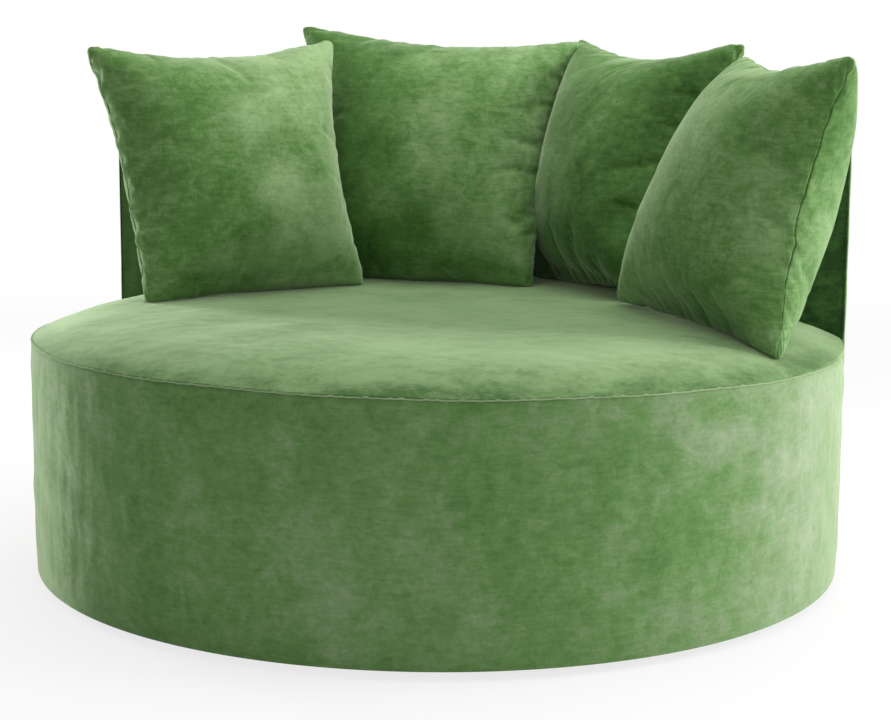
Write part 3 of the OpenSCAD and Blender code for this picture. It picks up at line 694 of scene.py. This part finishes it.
def dust_sheet():
    """Rings and spokes under the frame: the sag is a sine across the ring, and the pleats are
    short waves that fade from both edges."""
    az = np.linspace(0, 2 * np.pi, 240, endpoint=False)[None, :]
    t = np.linspace(0, 1, 24)[:, None]
    r = dust_in + (dust_out - dust_in) * t
    edge = np.exp(-np.minimum(t, 1 - t) / 0.08)
    pleats = 0.00035 * edge * np.sin(48 * az + 2 * t)
    pleats = pleats + 0.0002 * hills(r * np.cos(az), r * np.sin(az), 71, 0.05, 0.2)
    z = drum_bottom + 0.0009 - 0.0008 * np.sin(np.pi * t) + pleats * np.sin(np.pi * np.clip(t, 0.02, 0.98))
    return around(r, az, z)


points = dust_sheet()
dust = new_piece("dust_sheet", points, grid_faces(*points.shape[:2], close_cols=True))
face_out(dust, (0, 0, 5))
thicken(dust, 0.0005)
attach(dust, "chair")
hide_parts("dust_cover")

# %% [markdown]
# ## The cushions: form
# A scatter cushion is two square panels sewn round the edge and overfilled. The filling pushes the
# middle out, so the sides draw in and the corners stay behind as points. The form below is that of
# the CAD cushions, a crown that falls to nothing along a curved rim, with most of the corners then
# moved, by up to 29 mm. It is the pattern that the stuffing works on.

# %% Cushion places and form
cushion_names = ["left", "mid_left", "mid_right", "right"]
cushion_w = [0.445, 0.480, 0.445, 0.445]
cushion_half = 0.112
cushion_fullness = 0.45
facing = np.radians([-43.5, -86, -138, -145])
leaning = np.radians([19, 19.5, 19.5, 20.5])
rolling = np.radians([1.5, -1.5, 1.5, -2])
twists = [0.014, -0.032, -0.026, 0.033]
shifts = [-0.196, -0.119, -0.114, 0.296]
foot_rise = [-0.0008, -0.001, 0.0101, -0.002]
insets = [0.171, 0.138, 0.1285, 0.1395]


def turned(k):
    """The cushion's own axes in the chair's frame, as the columns of a matrix: across, up the
    leaning cushion, and out of its front."""
    f, l, q = facing[k], leaning[k], rolling[k]
    fore = np.array([math.cos(f), math.sin(f), 0])
    left = np.array([-math.sin(f), math.cos(f), 0])
    up = -math.sin(l) * fore + math.cos(l) * np.array([0, 0, 1])
    out = np.cross(left, up)
    across = math.cos(q) * left + math.sin(q) * up
    return np.stack([across, -math.sin(q) * left + math.cos(q) * up, out], 1)


def middle_of(k):
    """Where the cushion's middle is: up from the seat's crown and in from the back."""
    z = crown_z + foot_rise[k] + cushion_w[k] / 2 * math.cos(leaning[k])
    behind = back_in - insets[k] - (back_top - z) * math.tan(leaning[k])
    f = facing[k]
    return np.array([-behind * math.cos(f) - shifts[k] * math.sin(f),
                     -behind * math.sin(f) + shifts[k] * math.cos(f), z])


print("cushions: middles at", [middle_of(k).round(3).tolist() for k in range(4)])

# %% [markdown]
# No two cushions are alike, so each has its own edges, corners, filling and gathers.

# %% What sets the cushions apart
# How far the left, right, top and bottom edges draw in between the corners.
draw_ins = [(0.016, 0.028, 0.022, 0.010), (0.031, 0.013, 0.029, 0.010),
            (0.028, 0.031, 0.031, 0.010), (0.031, 0.029, 0.034, 0.012)]
# How far each corner sits from the square pattern's: top left, top right, bottom left, bottom right.
corner_moves = [((-0.010, 0.010, 0), (0.002, 0.004, 0), (0.004, -0.006, 0.026), (-0.006, 0.001, 0)),
                ((-0.018, -0.008, 0), (0.028, 0.003, -0.006), (0, 0, 0), (-0.010, -0.002, 0.004)),
                ((-0.016, 0.007, 0.004), (0.006, 0.004, 0), (0, 0, 0), (0, 0, 0)),
                ((-0.004, -0.002, 0), (0.022, -0.012, 0), (0, -0.002, 0), (0.006, 0.0, 0))]
# The fill of each cushion, against the half thickness, in front and behind.
fills = [(0.96, 0.96), (0.96, 0.95), (0.94, 0.95), (0.86, 0.97)]
# How strongly each cushion's edge is gathered.
crumple = [1.7, 1.0, 1.0, 1.2]
print("cushions:", dict(zip(cushion_names, crumple)))

# %% [markdown]
# The gathers of a seam are waves along it that die out with the distance from it, so the first
# thing to work out is how far a point lies from the edge over the curved surface.

# %% Gathers along the seam


def from_edge(u, k):
    """The length over the surface from a point to the edge that it is nearest to, about."""
    return cushion_w[k] / 2 * (1 - np.abs(np.arcsin(np.clip(u, -1, 1)) / (np.pi / 2))) * 1.25


def furrows(along, seed, shortest=0.014, longest=0.050):
    """Uneven furrows across a seam, from about -1 to 1: waves with random starts, with their
    crests sharper than their hollows."""
    wave = hills(along, 0 * along, seed, shortest, longest, 18)
    return np.sign(wave) * np.abs(wave) ** 0.8


def zipped(x, v):
    """1 along the zip in the middle of the bottom seam, where its tape holds the edge straight,
    and 0 elsewhere."""
    return ease((0.140 - np.abs(x)) / 0.030) * ease((-v - 0.80) / 0.15)


def wavy_rim(u, v, x, y, k):
    """A sewn edge is never straight: the gathers pull it in and out, and to the front and the
    back, by a few millimetres. The waves fade away from the rim like exp(-d / 25 mm)."""
    side, top = np.exp(-from_edge(u, k) / 0.025), np.exp(-from_edge(v, k) / 0.025)
    w = cushion_w[k] / 2
    calm = ease((1 - np.abs(u * v)) / 0.25) * (1 - zipped(u * w, v))
    in_out = 0.0016 * crumple[k]
    x = x - np.sign(u) * in_out * calm * side * (1 + furrows(v * w + 0.2 * np.sign(u), 400 + k, 0.016, 0.07))
    y = y - np.sign(v) * in_out * calm * top * (1 + furrows(u * w + 0.2 * np.sign(v), 410 + k, 0.016, 0.07))
    lean = 0.0020 * side * furrows(v * w + 0.2 * np.sign(u), 420 + k, 0.02, 0.09)
    lean = lean + 0.0020 * top * furrows(u * w + 0.2 * np.sign(v), 430 + k, 0.02, 0.09)
    return x, y, calm * lean


print("gathers: ready")

# %% [markdown]
# With those, a panel is a function of two parameters. Front and back share their rim, so the two
# panels together are one closed form.

# %% The panels of a cushion


def cushion_grid(k, n):
    """The front of a cushion as a function of u and v from -1 to 1. Across: u times half the
    width, drawn in by (1 - v * v). Out: the half thickness times ((1 - u * u)(1 - v * v)) to the
    power of the fullness. The third length is the twist u * v, which front and back share. The
    lines crowd towards the rim like a sine, so that they lie evenly over the curve there."""
    s = np.sin(np.linspace(-1, 1, n + 1) * np.pi / 2)
    u, v = s[:, None] + 0 * s[None, :], s[None, :] + 0 * s[:, None]
    w = cushion_w[k] / 2
    left, right, top, bottom = draw_ins[k]
    x = u * (w - np.where(u < 0, left, right) * (1 - v * v))
    y = v * (w - np.where(v > 0, top, bottom) * (1 - u * u))
    out = 0
    for (su, sv), (dx, dy, dz) in zip(((-1, 1), (1, 1), (-1, -1), (1, -1)), corner_moves[k]):
        near = (np.maximum(su * u, 0) * np.maximum(sv * v, 0)) ** 2
        tip = (np.maximum(su * u, 0) * np.maximum(sv * v, 0)) ** 26
        x, y = x + dx * near - 0.007 * su * tip, y + dy * near - 0.007 * sv * tip
        out = out + dz * near
    z = cushion_half * np.maximum((1 - u * u) * (1 - v * v), 0) ** cushion_fullness
    z[[0, -1], :] = 0
    z[:, [0, -1]] = 0
    x, y, lean = wavy_rim(u, v, x, y, k)
    return u, v, x, y, z, twists[k] * u * v + out + lean


def closed_faces(n):
    """Faces of a cushion whose back shares the front's rim: the front's points come first, then
    the inner points of the back."""
    front = np.arange((n + 1) ** 2).reshape(n + 1, n + 1)
    back = front.copy()
    back[1:-1, 1:-1] = (n + 1) ** 2 + np.arange((n - 1) ** 2).reshape(n - 1, n - 1)

    def quads(g):
        return np.stack([g[:-1, :-1], g[1:, :-1], g[1:, 1:], g[:-1, 1:]], -1).reshape(-1, 4)

    return np.concatenate([quads(front), quads(back)[:, ::-1]])


def as_points(front, back):
    """Both panels as one list of points, without the back's copy of the rim."""
    return np.concatenate([front.reshape(-1, 3), back[1:-1, 1:-1].reshape(-1, 3)])


def as_panels(points, n):
    """The list of points as two square grids again."""
    front = points[:(n + 1) ** 2].reshape(n + 1, n + 1, 3)
    back = front.copy()
    back[1:-1, 1:-1] = points[(n + 1) ** 2:].reshape(n - 1, n - 1, 3)
    return front, back


for k, name in enumerate(cushion_names):
    u, v, x, y, z, t = cushion_grid(k, 12)
    both = as_points(np.stack([x, y, t + z], -1), np.stack([x, y, t - z], -1))
    world = both @ turned(k).T + middle_of(k)
    low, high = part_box(name + "_cushion_cover")
    gap = max(np.abs(world.min(0) - np.array(low)).max(), np.abs(world.max(0) - np.array(high)).max())
    print(name, "cushion: its pattern's box is within", round(float(gap) * 1000, 1), "mm of the CAD one")

# %% [markdown]
# ## The cushions: seams and puckers
# Sewing gathers the cloth, so along every edge there are short furrows that start at the seam and
# die out within a few centimetres. They are deepest near the corners, where the two panels are
# pinched into an ear.

# %% Puckers along the seams


def puckers_at(u, v, k, face):
    """The height of the puckers over a panel: near each edge, furrows that run away from it and
    fade over some 30 mm, stronger by the corners."""
    w = cushion_w[k] / 2
    from_side, from_top = from_edge(u, k), from_edge(v, k)
    seed = 100 * k + 10 * face
    side = furrows(v * w + 0.3 * np.sign(u), seed + 1) * np.exp(-from_side / 0.028)
    edge = furrows(u * w + 0.3 * np.sign(v), seed + 2) * np.exp(-from_top / 0.028)
    rise = ease(from_side / 0.012) * ease(from_top / 0.012)
    to_tip = 0.6 + 0.9 * (np.abs(u) * np.abs(v)) ** 3
    return rise * to_tip * (side + edge)


print("puckers: ready")

# %% [markdown]
# ## The cushions: stuffing by simulation
# A real cushion gets its wrinkles because the panels hold more cloth than the filling needs. The
# form is given a little too much cloth, most of it along the seam where the gathers are, its seam
# is held, and pressure from inside blows it up: the spare cloth buckles into folds that no formula
# gives. All four cushions are worked out in the same twenty steps.

# %% Build the four cushions
panels = 96
pieces = []
for k, name in enumerate(cushion_names):
    u, v, x, y, z, t = cushion_grid(k, panels)
    sides = []
    for face, sign in ((0, 1), (1, -1)):
        full = z * fills[k][face]
        lift = 0.0024 * crumple[k] * puckers_at(u, v, k, face)
        lift = lift + 0.0020 * hills(x, y, 50 + 2 * k + face, 0.07, 0.2) * ease(z / 0.05)
        sides.append(np.stack([x, y, t + sign * (full + lift * (z > 0))], -1))
    local = as_points(*sides)
    piece = new_piece(name + "_cushion", local @ turned(k).T + middle_of(k), closed_faces(panels), None)
    pieces.append(piece)

# %% Hold the seams and blow the cushions up
steps = 20


def stuff(piece, k):
    """Adds the cloth: the seam is held, the cloth is a few per cent too large, more so by the
    seam, and pressure from inside fills it."""
    u, v, x, y, z, t = cushion_grid(k, panels)
    near = np.minimum(from_edge(u, k), from_edge(v, k))
    held = as_points(*[np.repeat((z <= 0)[..., None], 3, 2)] * 2)[:, 0]
    spare = as_points(*[np.repeat(np.exp(-(near / 0.045) ** 2)[..., None], 3, 2)] * 2)[:, 0]
    seam = piece.vertex_groups.new(name="seam")
    seam.add(np.flatnonzero(held).tolist(), 1.0, "REPLACE")
    gathers = piece.vertex_groups.new(name="gathers")
    for step in range(1, 11):
        here = np.flatnonzero(np.round(spare * 10) == step)
        gathers.add(here.tolist(), step / 10, "REPLACE")
    cloth = piece.modifiers.new("stuffing", "CLOTH")
    s = cloth.settings
    s.quality = 6
    s.mass = 0.25
    s.tension_stiffness = 12
    s.compression_stiffness = 12
    s.shear_stiffness = 4
    s.bending_stiffness = 0.08
    s.vertex_group_mass = "seam"
    s.pin_stiffness = 1.0
    s.vertex_group_shrink = "gathers"
    s.shrink_min = -0.030
    s.shrink_max = -0.10
    s.use_pressure = True
    s.uniform_pressure_force = 20.0
    s.effector_weights.gravity = 0
    cloth.collision_settings.use_collision = False
    cloth.point_cache.frame_start = 1
    cloth.point_cache.frame_end = steps


def simulated(pieces):
    """Steps the scene and returns each piece's points at the last step."""
    for f in range(1, steps + 1):
        scene.frame_set(f)
    graph = bpy.context.evaluated_depsgraph_get()
    results = [points_of(piece.evaluated_get(graph).data) for piece in pieces]
    scene.frame_set(1)
    return results


rest = [points_of(piece.data) for piece in pieces]
for k, piece in enumerate(pieces):
    stuff(piece, k)
shapes = simulated(pieces)
for piece in pieces:
    piece.modifiers.remove(piece.modifiers["stuffing"])
for name, a, b in zip(cushion_names, rest, shapes):
    move = np.linalg.norm(b - a, axis=1)
    print(name, "cushion moved by up to", round(float(move.max()) * 1000, 1), "mm, usually",
          round(float(np.median(move)) * 1000, 1), "mm")

# %% [markdown]
# ## The cushions: rest on the chair
# A filled cushion goes flat where it rests. Near the seat its underside is drawn down onto the
# velvet, and any point that would enter the seat or the back is put back on their surfaces. Extra
# rows of points are then laid beside the rim, and the rim alone is pulled in along the stitches:
# that leaves the narrow groove of the seam. Nothing here moves one cushion out of another, and the
# back's ends are not looked at: the two middle cushions overlap by up to 15 mm where they meet, and
# the outer two reach a few millimetres into the corners of the back. A better version would part
# them along the plane where they press together.

# %% Settle, pinch and finish
back_gap, seat_gap = 0.0016, 0.0007
settle_reach, settle_share = 0.030, 0.88
most_move = 0.026


def keep_out(world):
    """Moves points out of the back's rounded wall and off the seat. Points within the settling
    reach above the seat are drawn down by a share of their height over it."""
    x, y, z = world.T.copy()
    r, az = np.hypot(x, y), np.arctan2(y, x)
    behind = (az > back_from - 0.01) & (az < back_to + 0.01)
    half = (back_out - back_in) / 2
    qx, qz = np.abs(r - mid_r) - (half - back_round), z - (back_top - back_round)
    outside = np.hypot(np.maximum(qx, 0), np.maximum(qz, 0)) + np.minimum(np.maximum(qx, qz), 0) - back_round
    push = np.where(behind, np.maximum(back_gap - outside, 0), 0)
    rounded = (qx > 0) & (qz > 0)
    size = np.maximum(np.hypot(qx, qz), 1e-6)
    away = np.sign(r - mid_r)
    nr = np.where(rounded, away * qx / size, np.where(qx > qz, away, 0))
    nz = np.where(rounded, qz / size, np.where(qx > qz, 0, 1))
    r2 = r + push * nr
    x, y, z = r2 * np.cos(az), r2 * np.sin(az), z + push * nz
    floor = seat_z(x, y) + seat_wrinkles(x, y) + seat_gap
    gap = z - floor
    near = ease(1.4 * (1 - gap / settle_reach)) * (gap > 0)
    z = np.where(gap < 0, floor, z - near * gap * settle_share)
    return np.stack([x, y, z], -1)


# %% How the cushions' pile lies, with painted light and shade


def nap_and_painted_light(k, face):
    """A shift of the colour on a panel, partly the pile's lie and partly painted light and shade: a
    slope across, a slope up and a level, with a wavy border between the two directions of the sweep."""
    u, v, x, y, _, _ = cushion_grid(k, panels)
    border = u + 0.35 * hills(x, y, 80 + k, 0.10, 0.30)
    if face == 1:
        return 0.02 + 0 * u
    # These numbers paint light and shade per cushion: the left one, which faces the right lamp, is lighter
    # and lightest on its right half; the middle right one, which faces left, is darker; the right one is
    # lifted a little.
    across = (0.070, 0.050, -0.010, -0.030)[k]
    up = (0.010, 0.012, 0.020, 0.0)[k]
    level = (0.085, 0.005, -0.025, 0.050)[k]
    return level + up * v + across * (2 * ease((border + 0.45) / 0.9) - 1)


# %% The groove of the seam


def with_seam_rows(panel):
    """Adds two rows of points beside each edge of a square grid, at a fifth and a half of the way
    to the next row, so that the groove of the seam can be narrow."""
    n = panel.shape[0] - 1
    at = np.concatenate([[0, 0.2, 0.5], np.arange(1, n), [n - 0.5, n - 0.2, n]])
    low = np.minimum(at.astype(int), n - 1)
    part = (at - low)[:, None, None]
    panel = panel[low] * (1 - part) + panel[low + 1] * part
    panel = panel.transpose(1, 0, 2)
    return (panel[low] * (1 - part) + panel[low + 1] * part).transpose(1, 0, 2)


def finish_cushion(piece, k, before, after):
    """Caps the movement, settles the cushion on the chair, pulls the seam in, and gives the mesh
    its velvet."""
    move = after - before
    size = np.maximum(np.linalg.norm(move, axis=1, keepdims=True), 1e-9)
    world = keep_out(before + move * np.minimum(1, most_move / size))
    front, back = (with_seam_rows(panel) for panel in as_panels(world, panels))
    n = front.shape[0] - 1
    local = (as_points(front, back) - middle_of(k)) @ turned(k)
    rim = np.zeros((n + 1, n + 1, 3))
    rim[[0, -1], :] = rim[:, [0, -1]] = 1
    beside = np.zeros((n + 1, n + 1, 3))
    beside[[1, -2], 1:-1] = beside[1:-1, [1, -2]] = 1
    rim, beside = as_points(rim, 0 * rim)[:, :1], as_points(beside, beside)[:, :1]
    across = local[:, :2] / (cushion_w[k] / 2)
    to_tip = np.abs(across[:, 0] * across[:, 1])[:, None]
    along = np.arctan2(local[:, 1], local[:, 0])[:, None] * 0.25
    depth = 0.0030 * (1 + 0.5 * furrows(along[:, 0], 300 + k)[:, None]) * ease((0.86 - to_tip) / 0.25)
    depth = depth * (1 - zipped(local[:, :1], across[:, 1:]))
    inward = local[:, :2] / np.maximum(np.linalg.norm(local[:, :2], axis=1, keepdims=True), 1e-6)
    local[:, :2] -= inward * depth * (rim + 0.25 * beside)
    world = local @ turned(k).T + middle_of(k)
    name = cushion_names[k]
    bpy.data.objects.remove(piece)
    piece = new_piece(name + "_cushion", world, closed_faces(n), None)
    # Painted shade: the seam mark darkens the groove along the rim.
    mark(piece, "seam", (rim + 0.5 * beside)[:, 0])
    # The other mark holds the lie of the pile and the painted light and shade of each panel.
    pile_and_light = [with_seam_rows(np.repeat(nap_and_painted_light(k, face)[..., None], 3, 2)) for face in (0, 1)]
    mark(piece, "nap_and_painted_light", as_points(*pile_and_light)[:, 0])
    smooth = piece.modifiers.new("smooth", "SUBSURF")
    smooth.levels = smooth.render_levels = 1
    piece.data.materials.append(cushion_velvet)
    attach(piece, name + "_cushion")
    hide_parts(name + "_cushion_cover", name + "_cushion_pad")


for k, piece in enumerate(pieces):
    finish_cushion(piece, k, rest[k], shapes[k])
print("cushions: finished")

# %% [markdown]
# ## Finishes of the hidden frame
# The CAD parts keep their shapes and get the finish of what they are made of: plywood, pine, bent
# board, foam, wadding, webbing, steel and nylon. They show when the chair is tipped up or taken
# apart.

# %% Wood, board and plywood


def wood(name, dark, light, along, rings):
    """Grain as noise stretched along the timber, with a finer noise for the pores."""
    material, tree, shader = blank(name)
    grain = noise(tree, stretched(tree, along), rings, 6, 0.6, 1.5)
    pores = noise(tree, stretched(tree, tuple(a * 3 for a in along)), rings * 6, 3, 0.6)
    both = sums(tree, sums(tree, grain, 0.8, "MULTIPLY"), sums(tree, pores, 0.2, "MULTIPLY"))
    tree.links.new(ramp(tree, both, [(0.35, dark), (0.65, light)]), shader.inputs["Base Color"])
    shader.inputs["Roughness"].default_value = 0.62
    tree.links.new(bump(tree, pores, 0.0003, 0.4), shader.inputs["Normal"])
    return material


def plain(name, dark, light, scale, rough, depth=0.0004, metal=0.0, along=(1, 1, 1), sheen=0.0):
    """A finish with a fine mottle in its colour and a bump of the same size."""
    material, tree, shader = blank(name)
    grain = noise(tree, stretched(tree, along), scale, 5, 0.6)
    tree.links.new(ramp(tree, grain, [(0.35, dark), (0.65, light)]), shader.inputs["Base Color"])
    shader.inputs["Roughness"].default_value = rough
    shader.inputs["Metallic"].default_value = metal
    shader.inputs["Sheen Weight"].default_value = sheen
    tree.links.new(bump(tree, grain, depth, 0.5), shader.inputs["Normal"])
    return material


finishes = {
    "plywood": wood("birch_plywood", lin(176, 142, 98), lin(214, 184, 138), (4, 1, 30), 6),
    "timber": wood("planed_pine", lin(176, 136, 84), lin(216, 180, 126), (2, 2, 14), 9),
    "bent_board": plain("bent_board", lin(104, 80, 54), lin(134, 106, 76), 260, 0.8),
    "foam": plain("cut_foam", lin(206, 194, 150), lin(226, 216, 176), 420, 0.95, 0.0012),
    "wadding": plain("fibre_wadding", lin(212, 212, 206), lin(238, 238, 234), 120, 1.0, 0.003, sheen=0.4),
    "webbing": plain("woven_webbing", lin(58, 48, 40), lin(96, 82, 68), 500, 0.9, 0.0008),
    "dust_cloth": plain("dust_cloth", lin(20, 20, 22), lin(38, 38, 42), 600, 0.95, 0.0004),
    "steel": plain("zinc_steel", lin(142, 146, 152), lin(188, 192, 198), 300, 0.34, 0.0001, 1.0, (1, 1, 12)),
    "nylon": plain("moulded_nylon", lin(22, 22, 24), lin(36, 36, 40), 700, 0.5, 0.0001),
    "zip": plain("dyed_zip", lin(52, 78, 42), lin(74, 104, 60), 900, 0.55, 0.0003),
}
dust.data.materials.append(finishes["dust_cloth"])
slots = {s["node"]: s["material_slot"] for s in frame["record"]["subparts"]}
for name, node in nodes.items():
    finish = finishes.get(slots[name])
    if finish is not None:
        node.data.materials.clear()
        node.data.materials.append(finish)
print("finishes:", sorted(finishes))

# %% [markdown]
# ## Floor, light and camera
# The chair stands on a plain pale floor in an even white surround. A broad soft light from above
# makes the seat the lightest surface, and one from the right lets that side of the velvet go pale.
# A low one behind on the left does the same for the left edge, and a weak one in front fills the
# shadows. The camera's rays see the floor and the surround as nearly white; the shadow stays.

# %% Floor and surround


def pale_floor():
    """A large flat sheet. To the camera it has a little light of its own, so that it meets the
    white surround without a line; everything else sees plain pale paint."""
    material, tree, shader = blank("pale_floor")
    shader.inputs["Base Color"].default_value = (0.80, 0.80, 0.80, 1)
    shader.inputs["Roughness"].default_value = 0.9
    shader.inputs["Specular IOR Level"].default_value = 0.1
    path = tree.nodes.new("ShaderNodeLightPath")
    glow = tree.nodes.new("ShaderNodeEmission")
    glow.inputs["Strength"].default_value = 1.0
    mix = tree.nodes.new("ShaderNodeMixShader")
    far = tree.nodes.new("ShaderNodeVectorMath")
    far.operation = "LENGTH"
    tree.links.new(stretched(tree, (0.22, 0.22, 0.22)), far.inputs[0])
    lift = tree.nodes.new("ShaderNodeClamp")
    tree.links.new(sums(tree, sums(tree, far.outputs["Value"], 0.30, "MULTIPLY"), 0.74), lift.inputs["Value"])
    seen = sums(tree, path.outputs["Is Camera Ray"], lift.outputs[0], "MULTIPLY")
    tree.links.new(seen, mix.inputs["Fac"])
    tree.links.new(shader.outputs[0], mix.inputs[1])
    tree.links.new(glow.outputs[0], mix.inputs[2])
    tree.links.new(mix.outputs[0], tree.nodes["Material Output"].inputs["Surface"])
    return material


corners = np.array([[-9, -9, 0], [9, -9, 0], [9, 9, 0], [-9, 9, 0]], float)
floor = new_piece("floor", corners, np.array([[0, 1, 2, 3]]))
face_out(floor, (0, 0, -1))
floor.data.materials.append(pale_floor())

world = bpy.data.worlds.new("surround")
scene.world = world
world.use_nodes = True
tree = world.node_tree
ambient = tree.nodes["Background"]
ambient.inputs["Color"].default_value = (1, 1, 1, 1)
ambient.inputs["Strength"].default_value = 0.34
white = tree.nodes.new("ShaderNodeBackground")
white.inputs["Strength"].default_value = 1.0
white.inputs["Color"].default_value = (1, 1, 1, 1)
path = tree.nodes.new("ShaderNodeLightPath")
mix = tree.nodes.new("ShaderNodeMixShader")
seen = sums(tree, path.outputs["Is Camera Ray"], path.outputs["Is Glossy Ray"], "MAXIMUM")
seen = sums(tree, seen, path.outputs["Is Transmission Ray"], "MAXIMUM")
tree.links.new(seen, mix.inputs["Fac"])
tree.links.new(ambient.outputs[0], mix.inputs[1])
tree.links.new(white.outputs[0], mix.inputs[2])
tree.links.new(mix.outputs[0], tree.nodes["World Output"].inputs["Surface"])
print("floor and surround: ready")

# %% Lights
view_az = math.radians(16.66)


def placed(right, up, back, place):
    """A matrix from an object's own three axes and its place."""
    m = np.eye(4)
    m[:3] = np.stack([right, up, back, place], 1)
    return Matrix(m.tolist())


def soft_light(name, across, ahead, height, size, power, aim=(0, 0, 0.35)):
    """A square area light, placed across and ahead of the chair as the camera sees it."""
    x = across * math.cos(view_az) + ahead * math.sin(view_az)
    y = across * math.sin(view_az) - ahead * math.cos(view_az)
    data = bpy.data.lights.new(name, "AREA")
    data.size = size
    data.energy = power
    light = bpy.data.objects.new(name, data)
    scene.collection.objects.link(light)
    place = np.array([x, y, height])
    to = np.array(aim) - place
    to /= np.linalg.norm(to)
    side = np.cross(to, (0, 0, 1))
    side = side / np.linalg.norm(side) if np.linalg.norm(side) > 1e-3 else np.array([1.0, 0, 0])
    up = np.cross(side, to)
    light.matrix_world = placed(side, up, -to, place)


soft_light("overhead", 0.4, -0.1, 2.8, 2.2, 56)
soft_light("right", 2.6, 0.2, 1.0, 1.6, 70)
soft_light("left", -2.3, -1.5, 0.38, 0.7, 64)
soft_light("front", 0.9, 3.4, 1.4, 2.2, 13)

# %% [markdown]
# ## The camera
# The camera stands where the photograph was taken from: about three metres away, a little above
# the cushions, looking nine degrees down, with a moderately long lens. Its place was worked out
# from the ellipses of the seam and the base.

# %% Camera
photo_width = 891
focal_pixels = 1862.0
pitch, turn, roll = math.radians(9.12), math.radians(0.24), math.radians(0.35)
camera_az, camera_reach, camera_height = math.radians(16.9), 3.017, 0.812
heading = turn - camera_az
fore = np.array([math.sin(heading) * math.cos(pitch), math.cos(heading) * math.cos(pitch), -math.sin(pitch)])
right = np.array([math.cos(heading), -math.sin(heading), 0.0])
up = np.cross(right, fore)
camera_data = bpy.data.cameras.new("camera")
camera_data.sensor_width = 36.0
camera_data.lens = focal_pixels / photo_width * 36.0
camera_data.clip_start, camera_data.clip_end = 0.1, 60
camera = bpy.data.objects.new("camera", camera_data)
scene.collection.objects.link(camera)
place = (camera_reach * math.sin(camera_az), -camera_reach * math.cos(camera_az), camera_height)
camera.matrix_world = placed(math.cos(roll) * right + math.sin(roll) * up,
                             math.cos(roll) * up - math.sin(roll) * right, -fore, place)
scene.camera = camera
scene.view_settings.view_transform = "Standard"
print("camera:", [round(c, 3) for c in place], "lens", round(camera_data.lens, 1))
